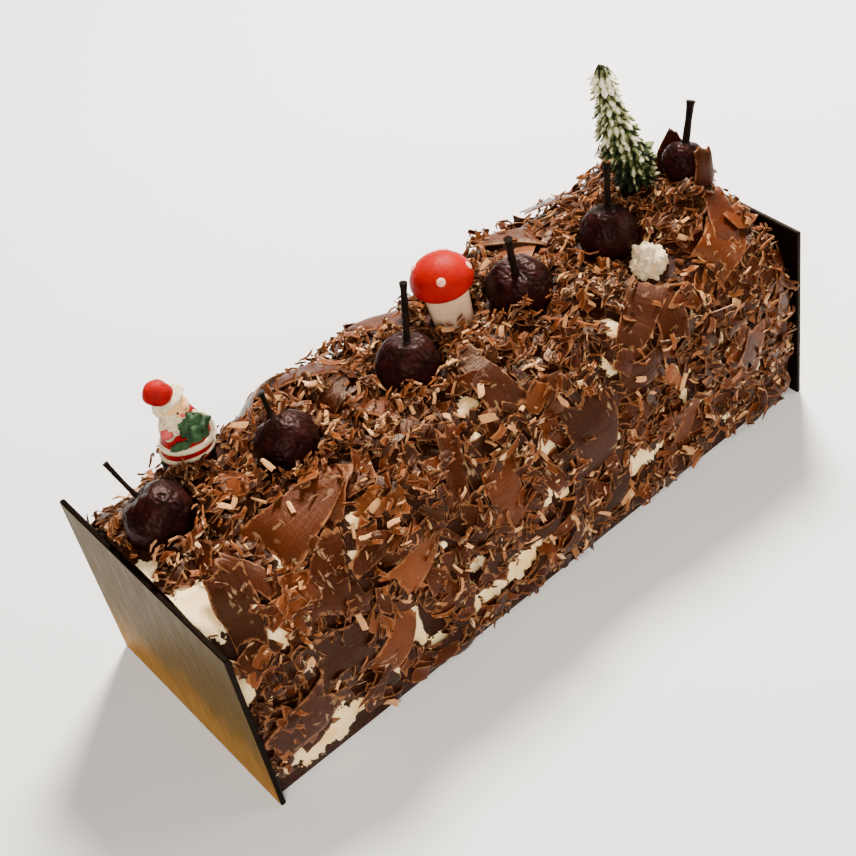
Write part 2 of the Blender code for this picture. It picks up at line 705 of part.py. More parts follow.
# ------------------------------------------------------------------ the fir tree


def tree_axes():
    turn = Matrix.Rotation(TREE_TURN, 4, "Z")
    return Matrix.Translation(TREE_FOOT) @ turn @ Matrix.Rotation(TREE_LEAN, 4, "Y")


def tree_trunk_form(radius, bottom=0.0):
    """The trunk, from its foot up into the lowest tiers."""
    bm = bmesh.new()
    top = 20 * MM
    bmesh.ops.create_cone(bm, cap_ends=True, segments=10, radius1=radius, radius2=radius, depth=top - bottom)
    middle = Matrix.Translation((0, 0, (top + bottom) / 2))
    bmesh.ops.transform(bm, matrix=tree_axes() @ middle, verts=bm.verts)
    return bm


def tree_tier_form(number, rim_height, radius, depth, shift):
    """A drooping cone of branches whose rim runs in and out."""
    bm = bmesh.new()
    sides = 2 * TREE_POINTS
    bmesh.ops.create_cone(bm, cap_ends=True, segments=sides, radius1=radius, radius2=radius * 0.12, depth=depth)
    for vert in bm.verts:
        if vert.co.z < 0:
            step = round(math.atan2(vert.co.y, vert.co.x) / (math.pi / TREE_POINTS))
            tip = step % 2 == 0
            vert.co.xy *= 1.0 if tip else 0.66
            vert.co.z += -0.6 * MM if tip else 1.4 * MM
        vert.co.z += rim_height + depth / 2
    bmesh.ops.rotate(bm, matrix=Matrix.Rotation(number * 0.35, 3, "Z"), verts=bm.verts)
    bmesh.ops.translate(bm, verts=bm.verts, vec=(shift, 0, 0))
    bmesh.ops.transform(bm, matrix=tree_axes(), verts=bm.verts)
    return bm


def fir_tree(place, pieces, finish):
    """A moulded fir tree: a trunk and six tiers of branches in one piece."""
    tree = add_object("fir_tree", tree_trunk_form(TREE_TRUNK_RADIUS), place, finish)
    for number, sizes in enumerate(TREE_TIERS):
        add_object(f"tier_{number}", tree_tier_form(number, *(size * MM for size in sizes)), pieces)
    join_or_cut(tree, "UNION", pieces)
    keep_main_body(tree)
    return tree


# ------------------------------------------------------------------ the bearded winter figure


def figure_axes():
    return Matrix.Translation(FIGURE_FOOT) @ Matrix.Rotation(FIGURE_TURN, 4, "Z")


def figure_coat_form():
    """A bell-shaped coat that sways to one side, from the flared hem to the neck."""
    bm = turned([(radius * MM, height * MM) for radius, height in reversed(COAT_PROFILE)], 14)
    heights, shifts = zip(*COAT_SWAY)
    for vert in bm.verts:
        vert.co.y *= COAT_DEPTH
        vert.co.x += float(np.interp(vert.co.z / MM, heights, shifts)) * MM
    bmesh.ops.transform(bm, matrix=figure_axes(), verts=bm.verts)
    return bm


def figure_foot_form(grow):
    """The space that the figure's foot takes in the log."""
    bm = bmesh.new()
    half, height = 9.2 * MM + grow, 20 * MM
    bmesh.ops.create_cone(bm, cap_ends=True, segments=16, radius1=half, radius2=half, depth=height)
    middle = Matrix.Translation((0.3 * MM, 0, height / 2 - grow)) @ Matrix.Diagonal((1, 0.86, 1, 1))
    bmesh.ops.transform(bm, matrix=figure_axes() @ middle, verts=bm.verts)
    return bm


def bearded_figure(place, pieces, finish):
    """A small bearded figure in a coat and a soft cap, holding a bundle: one moulded piece."""
    figure = add_object("bearded_figure", figure_coat_form(), place, finish)
    # Centre and half sizes in mm, and the tilt to the figure's right in degrees
    masses = {
        "head": ((1.0, -1.0, 28.6), (5.3, 5.0, 5.4), 0),
        "beard": ((0.2, -4.0, 25.3), (4.6, 3.2, 4.8), 0),
        "cap_band": ((0.8, -0.2, 31.6), (5.6, 5.0, 2.4), -25),
        "cap": ((-2.6, 0, 35.2), (4.8, 4.3, 4.7), -25),
        "bundle": ((5.0, -6.0, 21.4), (5.4, 4.0, 5.5), 0),
        "leaf": ((-1.2, -7.0, 15.8), (3.6, 1.8, 1.7), 0),
        "sleeve": ((-3.4, -3.2, 21.5), (2.7, 3.6, 5.0), 0),
        "hand": ((-4.0, -6.0, 22.2), (2.2, 1.8, 2.0), 0),
    }
    for name, (centre, half_size, tilt) in masses.items():
        bm = ellipsoid(Vector((0, 0, 0)), Vector(half_size) * MM)
        turn = Matrix.Rotation(math.radians(tilt), 4, "Y")
        placed = figure_axes() @ Matrix.Translation(Vector(centre) * MM) @ turn
        bmesh.ops.transform(bm, matrix=placed, verts=bm.verts)
        add_object(name, bm, pieces)
    join_or_cut(figure, "UNION", pieces)
    keep_main_body(figure)
    return figure


# ------------------------------------------------------------------ the whole cake


def main():
    for obj in list(bpy.data.objects):
        bpy.data.objects.remove(obj)
    cake = bpy.data.collections.new("black_forest_log_cake")
    cutters = bpy.data.collections.new("cutters")
    for made in (cake, cutters):
        bpy.context.scene.collection.children.link(made)
    cutters.hide_render = True

    chocolate = material("milk_chocolate_flakes", (0.105, 0.034, 0.014), 0.42)
    plate_finish = material("chocolate_plate", (0.16, 0.115, 0.06), 0.35)
    cherry_finish = material("dark_cherry", (0.018, 0.006, 0.009), 0.28)
    stem_finish = material("cherry_stem", (0.012, 0.010, 0.006), 0.6)
    cream = material("whipped_cream", (0.80, 0.72, 0.55), 0.55)
    figure_finish = material("painted_figure", (0.72, 0.05, 0.04), 0.45)
    red_cap = material("mushroom_red", (0.80, 0.02, 0.008), 0.35)
    stem_cream = material("mushroom_cream", (0.62, 0.52, 0.38), 0.55)
    frosted_green = material("frosted_fir", (0.22, 0.26, 0.16), 0.6)

    smooth(cake_log(cake, cutters, chocolate), 25)
    end_plate("end_plate_near", -1, cake, plate_finish)
    end_plate("end_plate_far", 1, cake, plate_finish)
    for index, cherry in enumerate(CHERRIES, start=1):
        smooth(add_object(f"cherry_{index}", cherry_form(cherry), cake, cherry_finish))
        smooth(cherry_stem(index, cherry, cake, stem_finish))
    smooth(add_object("cream_dab", dab_form(), cake, cream))
    smooth(add_object("mushroom_stem", mushroom_stem_form(MUSHROOM_STEM_HALF), cake, stem_cream))
    smooth(add_object("mushroom_cap", mushroom_cap_form(), cake, red_cap))
    fir_tree(cake, cutters, frosted_green)
    smooth(bearded_figure(cake, cutters, figure_finish))


main()
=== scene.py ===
"""The black forest log cake, dressed: whipped cream, shaved chocolate, cherries and winter ornaments."""

import math
import random
from dataclasses import dataclass

import bmesh
import bpy
import numpy as np
from mathutils import Matrix, Vector, noise


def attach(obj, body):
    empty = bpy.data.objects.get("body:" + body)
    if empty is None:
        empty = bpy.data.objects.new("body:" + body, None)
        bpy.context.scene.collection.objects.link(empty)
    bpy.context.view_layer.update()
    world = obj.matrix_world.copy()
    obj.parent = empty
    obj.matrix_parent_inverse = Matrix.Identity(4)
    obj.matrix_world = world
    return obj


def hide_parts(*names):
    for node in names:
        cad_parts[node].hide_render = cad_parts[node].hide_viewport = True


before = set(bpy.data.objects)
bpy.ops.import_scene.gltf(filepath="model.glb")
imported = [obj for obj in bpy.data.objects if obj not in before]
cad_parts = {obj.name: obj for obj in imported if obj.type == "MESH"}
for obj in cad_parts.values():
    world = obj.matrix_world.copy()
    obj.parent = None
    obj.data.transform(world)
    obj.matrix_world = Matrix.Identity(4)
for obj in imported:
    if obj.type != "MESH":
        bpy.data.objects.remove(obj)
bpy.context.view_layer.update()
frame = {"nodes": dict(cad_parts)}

MM = 0.001
GAP = 0.3 * MM

# The log, as its solid was built
LOG_LENGTH = 260 * MM
PLATE_THICKNESS = 2 * MM
BODY_END = LOG_LENGTH / 2 - PLATE_THICKNESS - GAP
BED_HALF_WIDTH = 46 * MM
SIDE_HEIGHT = 38 * MM
DOME_HEIGHT = 44 * MM
DOME_POWER = 3.0
SPREAD_LIMIT = 52 * MM
FOOT_LIMIT = 0.5 * MM
MOUND_CENTRE = (114.5 * MM, -3 * MM, 78 * MM)
MOUND_HALF_SIZE = (13 * MM, 17 * MM, 12 * MM)

# The large and medium flakes, as they were laid on the solid
FLAKE_THICKNESS = 1.1 * MM
FLAKE_SINK = 0.4 * MM
FLAKE_CLEARANCE = 0.8 * MM
MOST_TILT = math.radians(20)
SAMPLE_STEP = 1.5 * MM
LAYOUT_SEED = 24
MEDIUM_COUNT = 104
LARGE_COUNT = 30
SIDE_LIFT = 0.6
SIDESTEPS = ((0, 0), (0, -13), (0, 13), (-12, -6), (12, 6))
BARE_MARGIN = 4 * MM
LARGE_PATCH = 15  # square mm

# Flakes listed one by one, in mm and degrees: place along the log, place round the section, length, width,
# turn, lift, bend radius, width at each end; then the tone of the chocolate, from dark at 0 to light at 1
HAND_LAID = (
    (-79, -21, 34, 25, 6, 4, 90, 1.0, 0.30, 0.52),
    (-84, -42, 27, 17, 62, 2, 60, 0.9, 0.6, 0.40),
    (-91, -70, 23, 21, 88, -4, 80, 1.0, 0.9, 0.16),
    (-112, -84, 25, 19, 20, 3, 70, 0.8, 1.0, 0.34),
    (-114, -33, 24, 15, 75, 5, 60, 0.7, 0.9, 0.30),
    (-15, -56, 25, 15, 86, -3, 60, 0.8, 1.0, 0.62),
    (-28, -38, 27, 9, 70, 12, 40, 0.7, 0.8, 0.45),
    (24, -60, 35, 21, 84, 2, 24, 0.8, 1.0, 0.28),
    (33, -86, 30, 12, 74, -3, 40, 1.0, 0.6, 0.20),
    (100, -74, 24, 19, 70, 3, 60, 1.0, 0.8, 0.66),
    (62, -34, 28, 14, 30, 4, 50, 0.6, 1.0, 0.45),
    (-34, 30, 27, 18, 160, 14, 35, 0.9, 0.5, 0.50),
    (-50, 42, 30, 22, 15, 8, 20, 0.8, 0.8, 0.35),
    (-4, 33, 26, 18, 140, 16, 60, 1.0, 0.2, 0.55),
    (60, 28, 28, 16, 150, 15, 60, 1.0, 0.3, 0.50),
    (88, 34, 25, 18, 165, 12, 45, 0.9, 0.6, 0.30),
    (114, -24, 24, 14, 60, 10, 50, 0.8, 0.7, 0.50),
    (-118, 38, 20, 14, 100, 6, 50, 0.6, 0.9, 0.40),
    (40, 56, 28, 20, 80, 4, 50, 0.8, 1.0, 0.40),
    (-20, 70, 30, 18, 60, 3, 40, 1.0, 0.7, 0.35),
)

# Flakes standing on edge beside the last cherry, in mm and degrees: x, y and z of the middle, direction that
# the outer side faces, length, width, bend radius, width at each end, tone
STANDING = (
    (122.6, 6.0, 94.5, 47, 23, 17, 30, 1.0, 0.12, 0.30),
    (119.6, -12.9, 96.0, -102, 18.4, 8, 22, 1.0, 0.8, 0.36),
)


@dataclass
class Cherry:
    """A cherry with its stem. Lean is how far its top turns to +X and to -Y, in degrees. Stem bend is how
    nearly the stem's far end comes upright: 0 for a straight stem, 1 for an upright end."""

    x: float
    y: float
    z: float
    radius: float
    lean_right: float
    lean_front: float
    stem_length: float
    stem_radius: float
    stem_bend: float

    @property
    def centre(self):
        return Vector((self.x, self.y, self.z))

    @property
    def axes(self):
        turn_right = Matrix.Rotation(math.radians(self.lean_right), 4, "Y")
        return turn_right @ Matrix.Rotation(math.radians(self.lean_front), 4, "X")


CHERRIES = (
    Cherry(-112 * MM, 10.5 * MM, 86 * MM, 11.8 * MM, -18, -34, 14 * MM, 0.9 * MM, 0.2),
    Cherry(-64 * MM, 4.2 * MM, 86.8 * MM, 11.3 * MM, 8, -45, 8 * MM, 1.0 * MM, 0.4),
    Cherry(-12.4 * MM, 2.6 * MM, 86 * MM, 11.6 * MM, 16, -8, 20.3 * MM, 1.3 * MM, 0.4),
    Cherry(39.6 * MM, 1.8 * MM, 86.4 * MM, 11.9 * MM, -13, 9, 16 * MM, 1.4 * MM, 0.4),
    Cherry(80 * MM, -2 * MM, 87.2 * MM, 11.2 * MM, 16, -11, 15.6 * MM, 1.3 * MM, 0.4),
    Cherry(118.7 * MM, -3.3 * MM, 97 * MM, 8.0 * MM, 24, -9, 14.6 * MM, 1.5 * MM, 0.0),
)

# Ornaments: where each stands, how far it is turned, and its main sizes
FIGURE_FOOT = Vector((-88.5 * MM, 29.8 * MM, 78 * MM))
FIGURE_TURN = math.radians(-20)
FIGURE_AXES = Matrix.Translation(FIGURE_FOOT) @ Matrix.Rotation(FIGURE_TURN, 4, "Z")
# Radius and height up the coat, then height and shift to the figure's left, in mm
COAT_PROFILE = (
    (0, 0), (8.4, 0), (9.0, 1.5), (9.1, 7), (9.3, 11), (9.0, 14), (7.8, 18), (6.6, 22), (5.2, 26),
    (2.5, 28.5), (0, 29),
)
COAT_SWAY = ((0, 0), (7, 0.4), (12, 2.2), (17, 1.9), (28, 0.8))
COAT_DEPTH = 0.8  # of its width
MUSHROOM_FOOT = Vector((17.7 * MM, 14.7 * MM, 80 * MM))
MUSHROOM_TURN = math.radians(-26)
MUSHROOM_LEAN = math.radians(-4)
MUSHROOM_AXES = (
    Matrix.Translation(MUSHROOM_FOOT)
    @ Matrix.Rotation(MUSHROOM_TURN, 4, "Z")
    @ Matrix.Rotation(MUSHROOM_LEAN, 4, "Y")
)
MUSHROOM_STEM_HEIGHT = 15.8 * MM
MUSHROOM_STEM_HALF = 7.6 * MM
MUSHROOM_CAP_RADIUS = 11.5 * MM
MUSHROOM_CAP_HEIGHT = 9.4 * MM
MUSHROOM_RIM_DEPTH = 2.2 * MM
TREE_FOOT = Vector((103.8 * MM, 10.8 * MM, 78 * MM))
TREE_TURN = math.radians(-43)
TREE_LEAN = math.radians(-4)
TREE_AXES = (
    Matrix.Translation(TREE_FOOT) @ Matrix.Rotation(TREE_TURN, 4, "Z") @ Matrix.Rotation(TREE_LEAN, 4, "Y")
)
# Rim height, radius, depth and sideways shift of each tier, in mm
TREE_TIERS = (
    (13, 8.8, 10, 4.0),
    (20, 9.0, 12, 3.6),
    (27, 8.9, 12, 0.4),
    (34, 8.8, 13, -0.2),
    (42, 6.8, 12, -1.3),
    (49.5, 5.6, 14.5, -1.7),
)
TREE_PEAK = 63.2  # mm over its foot; no blade starts higher
DAB_PLACE = (82 * MM, -19.8 * MM)
DAB_HALF_SIZE = (6.6 * MM, 7.0 * MM, 7.6 * MM)

# Cream and the fine flakes
CREAM_INSET = 1.3 * MM  # the cream lies this far under the mean level of the flakes
CREAM_RISE = 0.8 * MM  # and rises by this much where it is bare
FINE_SEED = 71
FINE_CLEARANCE = 0.35 * MM  # to the toppings
LARGE_LENGTH = 18.5 * MM  # few loose flakes lie on the ones that are longer
OUTLINE_LIMIT = 51.3 * MM  # no finished flake reaches further to the front or the back
FOOT_BAND = 0.86  # of the way from the ridge to the foot; flakes further down lie flatter
FOOT_MARGIN = 3.5 * MM  # no loose flake is centred closer to the foot
TOP_BAND = 45 * MM  # each side of the ridge; most loose flakes lie along the log in it

# Bare patches of cream, in mm and degrees: centre along the log, centre round the section, half length
# along the log, half width round the section, turn
BARE_PATCHES = (
    (-122, -26, 8, 9, 10),
    (-126, -2, 2.5, 4, 0),
    (-127, -57, 3, 5.5, 0),
    (-121, -104, 5, 1.8, -12),
    (-103, -103, 13, 4.6, 6),
    (-91, -30, 3.4, 3, 0),
    (-90, -22, 1.6, 4.5, 20),
    (-61, -83, 1.8, 12, 8),
    (-37, -98, 2.6, 3.4, 0),
    (-74, -95, 1.4, 5, 10),
    (-89, -87, 3.6, 1.4, -15),
    (-99, -73, 2.4, 1.4, 0),
    (-108, -47, 3, 4.5, 30),
    (-60, -52, 1.8, 4, 15),
    (-65, -33, 3, 2.4, 0),
    (8, -72, 2.6, 5, 10),
    (1, -74, 2, 6, -30),
    (7, -53, 2.8, 3, 0),
    (-9, -23, 3, 2.8, 0),
    (12, -28, 3.4, 1.6, 0),
    (47, -89, 9, 3.6, 0),
    (31, -93, 4, 2.6, 15),
    (64, -92, 3, 3, 0),
    (54, -35, 2.4, 9, 25),
    (42, -42, 3, 2.2, 0),
    (77, -81, 2, 2.6, 0),
    (94, -102, 3, 1.8, 0),
    (121, -74, 3, 1.2, 0),
    (-20, -95, 14, 4.2, 5),
    (103, -60, 2, 2, 0),
    (66, -60, 4.5, 2.2, -20),
    (84, -58, 2.5, 3.5, 15),
    (108, -86, 2.4, 3.6, 10),
    (86, -97, 3.2, 2.4, 0),
    (70, -76, 1.8, 3.6, 0),
    (22, -99, 4, 2, 5),
    (-46, -68, 1.8, 4.2, -20),
    (-52, -100, 4, 2.2, 0),
    (-78, -76, 1.6, 3.4, 30),
    (-100, 96, 10, 4, 0),
    (-62, 84, 3, 7, 15),
    (-34, 99, 8, 3, 0),
    (8, 88, 5, 5, 30),
    (52, 97, 11, 4, 5),
    (84, 78, 3, 6, -10),
    (112, 94, 6, 4, 0),
    (-120, 60, 4, 5, 0),
    (25, 45, 3, 3, 0),
)

# Smaller bare places, strewn over the sides
SPECK_SEED = 5
SPECK_COUNT = 110

# Finer flakes, as they come to rest
FINE_STEEPEST = 0.9  # slope
FINE_RESTS_ON = 72  # percent of its points that end clear of what it lies on
FINE_SINK = 0.25 * MM

# Rings of blades on a tier of the fir: height as a share of its depth, radius as a share of its own
TIER_RINGS = ((0.0, 1.0), (0.28, 0.86), (0.52, 0.62))
TOP_TIER_RINGS = ((0.0, 1.0), (0.27, 1.0), (0.52, 0.92), (0.74, 0.70))
BLADE_PITCH = 3.5  # mm round a ring

# Spots on the mushroom's cap: direction and angle from the top in degrees, radius in mm
CAP_SPOTS = ((262, 50, 1.6), (348, 66, 1.6), (60, 42, 1.9), (155, 52, 1.7))
CAP_TILT = math.radians(-25)  # of the figure's cap

# Each lamp's name, place, width and power
LAMPS = (
    ("key", (0.46, 0.40, 0.78), 0.26, 38.0),
    ("front_fill", (-0.6, -0.7, 0.7), 0.7, 14.5),
    ("side_fill", (0.8, -0.5, 0.5), 0.6, 6.0),
)
LAMP_TARGET = Vector((0, 0, 0.05))
CAMERA_PLACE = (-0.229358, -0.352441, 0.459539)
CAMERA_RIGHT = Vector((0.75101706, -0.64176029, -0.15529683))
CAMERA_UP = Vector((0.54244099, 0.46557194, 0.69928573))
CAMERA_LENS = 68.454  # mm, on a sensor 36 mm wide


def axes_at(place, *directions):
    """The matrix that brings a piece's own axes to these directions and its origin to this place."""
    return Matrix.Translation(place) @ Matrix(directions).transposed().to_4x4()


def rows_moved(points, matrix):
    """Rows of points, moved by a matrix."""
    axes = np.array(matrix)
    return points @ axes[:3, :3].T + axes[:3, 3]


# ------------------------------------------------------------------ the section and the unrolled bed


def bed_section(steps=400):
    """Arc length, y, z and the outward normal, from the ridge down one side of the bed."""
    turn = np.linspace(0, math.pi / 2, steps)
    y = np.append(BED_HALF_WIDTH * np.sin(turn) ** (2 / DOME_POWER), BED_HALF_WIDTH)
    z = np.append(SIDE_HEIGHT + DOME_HEIGHT * np.cos(turn) ** (2 / DOME_POWER), 0)
    side = np.linspace(SIDE_HEIGHT, 0, 60)[1:]
    y = np.append(y[:-1], np.full(len(side), BED_HALF_WIDTH))
    z = np.append(z[:-1], side)
    arc = np.append(0, np.cumsum(np.hypot(np.diff(y), np.diff(z))))
    along_y, along_z = np.gradient(y, arc), np.gradient(z, arc)
    size = np.hypot(along_y, along_z)
    return arc, y, z, -along_z / size, along_y / size


ARC, SECTION_Y, SECTION_Z, NORMAL_Y, NORMAL_Z = bed_section()
HALF_GIRTH = float(ARC[-1])


def bed_frame(u, v):
    """The point of the bed at u along the log and v round the section, with its two tangents and normal."""
    side = -1 if v < 0 else 1
    lines = (SECTION_Y, SECTION_Z, NORMAL_Y, NORMAL_Z)
    y, z, ny, nz = (float(np.interp(abs(v), ARC, line)) for line in lines)
    normal = Vector((0, side * ny, nz)).normalized()
    along = Vector((1, 0, 0))
    return Vector((u, side * y, z)), along, normal.cross(along), normal


def bed_points(u, v, height):
    """Points at a height off the bed, from arrays of places along and round it."""
    side, reach = np.where(v < 0, -1.0, 1.0), np.abs(v)
    y = np.interp(reach, ARC, SECTION_Y) + height * np.interp(reach, ARC, NORMAL_Y)
    z = np.interp(reach, ARC, SECTION_Z) + height * np.interp(reach, ARC, NORMAL_Z)
    return np.stack([u, side * y, z], axis=-1)


def unroll(points):
    """Where points lie round the section, and how high they stand off the bed."""
    y, z = np.abs(points[:, 1]), points[:, 2]
    nearest = np.argmin((y[:, None] - SECTION_Y) ** 2 + (z[:, None] - SECTION_Z) ** 2, axis=1)
    height = (y - SECTION_Y[nearest]) * NORMAL_Y[nearest] + (z - SECTION_Z[nearest]) * NORMAL_Z[nearest]
    return np.sign(points[:, 1]) * ARC[nearest], height


def mound_points(around, from_top):
    """Points of the mound's upper half, at these angles."""
    ball = (np.sin(from_top) * np.cos(around), np.sin(from_top) * np.sin(around), np.cos(from_top))
    sized = zip(MOUND_CENTRE, MOUND_HALF_SIZE, ball)
    return np.stack([middle + half * part for middle, half, part in sized], -1)


def bare_specks():
    """Small bare places all over the sides, in the form of the rows of BARE_PATCHES."""
    rng = random.Random(SPECK_SEED)
    for _ in range(SPECK_COUNT):
        round_ = rng.choice((rng.uniform(-106, -30), rng.uniform(66, 106)))
        along, half_u, half_v = rng.uniform(-124, 124), rng.uniform(0.9, 2.4), rng.uniform(0.7, 1.8)
        yield along, round_, half_u, half_v, rng.uniform(-60, 60)


ALL_BARE = (*BARE_PATCHES, *bare_specks())


def bareness(u, v):
    """How bare of flakes the cream is at each place: 1 inside a patch, falling to 0 outside it."""
    most = np.zeros(np.shape(u))
    wobble = 0.30 * np.sin(u / (2.3 * MM) + 1.7 * np.sin(v / (3.1 * MM))) * np.cos(v / (1.9 * MM))
    drift = np.sin(v / (0.7 * MM) + u / (1.9 * MM))
    wobble += 0.30 * np.sin(u / (0.8 * MM) + 2 * np.sin(v / (1.3 * MM))) * drift
    for centre_u, centre_v, half_u, half_v, turn in ALL_BARE:
        across, round_ = u - centre_u * MM, v - centre_v * MM
        cosine, sine = math.cos(math.radians(turn)), math.sin(math.radians(turn))
        first = (across * cosine + round_ * sine) / (half_u * MM)
        second = (round_ * cosine - across * sine) / (half_v * MM)
        most = np.maximum(most, 1.5 - np.hypot(first, second) + wobble)
    return np.clip(most / 0.5, 0, 1)


def cream_level(u, v):
    """How high the cream stands off the bed, with spatula waves and soft lumps."""
    wave = 0.45 * np.sin(u / (7.1 * MM) + 1.3 * np.sin(v / (9.7 * MM))) * np.sin(v / (5.3 * MM) + 0.8)
    lump = 0.30 * np.sin(u / (2.9 * MM) + v / (4.1 * MM)) * np.sin(v / (2.3 * MM) - u / (6.3 * MM) + 2)
    drift = np.sin(v / (0.9 * MM) + u / (2.1 * MM))
    fine = 0.12 * np.sin(u / (1.1 * MM) + 2 * np.sin(v / (1.7 * MM))) * drift
    return (wave + lump + fine) * MM - CREAM_INSET + CREAM_RISE * bareness(u, v)


# ------------------------------------------------------------------ where the flakes lie


@dataclass
class Flake:
    """A thin curved flake. Its surface is a function of s along it and t across it, both from -1 to 1."""

    u: float
    v: float
    length: float
    width: float
    turn: float
    lift: float
    bend_radius: float
    start_width: float
    end_width: float
    slant: float = 0.0
    tone: float = 0.4
    frame: Matrix = None

    def surface(self, s, t):
        """Points of the underside, in the flake's own axes."""
        half_width = self.width / 2 * (self.start_width + (self.end_width - self.start_width) * (s + 1) / 2)
        half_width = half_width * (1 + 0.12 * (1 - s * s))
        along = self.length / 2 * s * (1 + 0.10 * t * t) + self.slant * half_width * t
        angle = along / self.bend_radius
        rise = self.bend_radius * (np.cos(angle) - 1)
        return np.stack([self.bend_radius * np.sin(angle), half_width * t, rise], axis=-1)

    def samples(self):
        """The surface at points about SAMPLE_STEP apart, as rows."""
        s = np.linspace(-1, 1, max(4, int(self.length / SAMPLE_STEP)))
        t = np.linspace(-1, 1, max(4, int(self.width / SAMPLE_STEP)))
        return self.surface(*np.meshgrid(s, t, indexing="ij")).reshape(-1, 3)


class FlakeBed:
    """The height of the heap over the unrolled bed. Each flake comes to rest on it, then raises it."""

    def __init__(self, blocked):
        self.blocked = blocked
        self.columns = int(2 * BODY_END / SAMPLE_STEP) + 1
        self.rows = int(2 * HALF_GIRTH / SAMPLE_STEP) + 1
        self.heights = np.zeros((self.columns, self.rows))
        self.ceiling = np.full((self.columns, self.rows), 1.0)
        self.smooth = np.zeros((self.columns, self.rows), bool)
        angles = np.meshgrid(np.linspace(0, 2 * math.pi, 120), np.linspace(0, math.pi / 2, 40))
        self.raise_to(mound_points(*angles).reshape(-1, 3))

    def raise_to(self, points):
        """Raise the heap to these points."""
        v, height = unroll(points)
        np.maximum.at(self.heights, self.cells(points, v), height)

    def roof_with(self, points):
        """Keep what is laid later under these points."""
        v, height = unroll(points)
        np.minimum.at(self.ceiling, self.cells(points, v), height)

    def cells(self, points, v):
        """The cell of the height map under each point."""
        column = ((points[:, 0] + BODY_END) / SAMPLE_STEP).astype(int).clip(0, self.columns - 1)
        row = ((v + HALF_GIRTH) / SAMPLE_STEP).astype(int).clip(0, self.rows - 1)
        return column, row

    def is_smooth(self, u, v):
        """Whether a place is on a large smooth flake."""
        return bool(self.smooth[self.cells(np.array([[u, 0, 0]]), np.array([v]))][0])

    def lay(self, flake):
        """Bring the flake to rest at the first place with room for it. False if there is none."""
        return any(self.settle(flake, flake.u + u * MM, flake.v + v * MM) for u, v in SIDESTEPS)

    def settle(self, flake, u, v, steepest=math.tan(MOST_TILT), rests_on=88, sink=FLAKE_SINK):
        """Bring the flake to rest at one place. False if it would touch a topping or reach out too far."""
        local = flake.samples()
        centre, along, across, normal = bed_frame(u, v)
        length_axis = along * math.cos(flake.turn) + across * math.sin(flake.turn)
        width_axis = normal.cross(length_axis)

        def standing(tilt_along, tilt_across):
            """The samples and axes with the flake tilted by these slopes."""
            first = (length_axis + tilt_along * normal).normalized()
            third = first.cross(width_axis + tilt_across * normal).normalized()
            axes = Matrix((first, third.cross(first), third)).transposed()
            points = local @ np.array(axes.transposed()) + np.array(centre)
            return points, axes

        points, _ = standing(0, 0)
        v, height = unroll(points)
        rest = self.heights[self.cells(points, v)] - height
        fit = np.linalg.lstsq(np.column_stack([np.ones(len(local)), local[:, :2]]), rest, rcond=None)[0]
        slope_along, slope_across = (float(slope) for slope in np.clip(fit[1:], -steepest, steepest))
        lift = flake.lift * (SIDE_LIFT if abs(normal.z) < 0.4 else 1)
        points, axes = standing(slope_along + math.tan(lift), slope_across)
        overhang = np.clip(points[:, 0], -BODY_END + GAP, BODY_END - GAP) - points[:, 0]
        rise = max(0.0, FOOT_LIMIT - float(points[:, 2].min()))
        shift = Vector((float(overhang.max() + overhang.min()), 0, rise))
        points = points + np.array(shift)
        v, height = unroll(points)
        clearance = self.heights[self.cells(points, v)] - height
        drop = normal * (float(np.percentile(clearance, rests_on)) - sink)
        points = points + np.array(drop)
        top = points + np.array(axes.col[2]) * FLAKE_THICKNESS
        if self.blocked(points) or self.blocked(top):
            return False
        if np.abs(top[:, 1]).max() > SPREAD_LIMIT + 1.5 * MM or points[:, 2].min() < FOOT_LIMIT / 2:
            return False
        if (unroll(top)[1] > self.ceiling[self.cells(points, v)]).mean() > 0.3:
            return False
        flake.frame = Matrix.Translation(centre + shift + drop) @ axes.to_4x4()
        self.raise_to(top)
        return True


def spread(count, start):
    """Evenly spread places over the unrolled bed, by the two-dimensional golden ratio."""
    ratio = 1.32471795724
    for index in range(start, start + count):
        u = (2 * ((0.5 + index / ratio) % 1) - 1) * BODY_END
        v = (2 * ((0.5 + index / ratio**2) % 1) - 1) * HALF_GIRTH
        yield u * 0.97, v * 0.95


def drawn_flake(rng, u, v, shortest, longest, most_lift):
    """A flake of random size and form, with its length and lift within the limits given."""
    length = rng.uniform(shortest, longest)
    return Flake(
        u=u,
        v=v,
        length=length,
        width=length * rng.uniform(0.42, 0.78),
        turn=rng.uniform(0, math.pi),
        lift=math.radians(rng.uniform(-most_lift, most_lift)),
        bend_radius=rng.choice((18, 30, 50, 90)) * MM,
        start_width=rng.uniform(0.45, 1.0),
        end_width=rng.uniform(0.35, 1.0),
        slant=rng.uniform(-0.5, 0.5),
    )


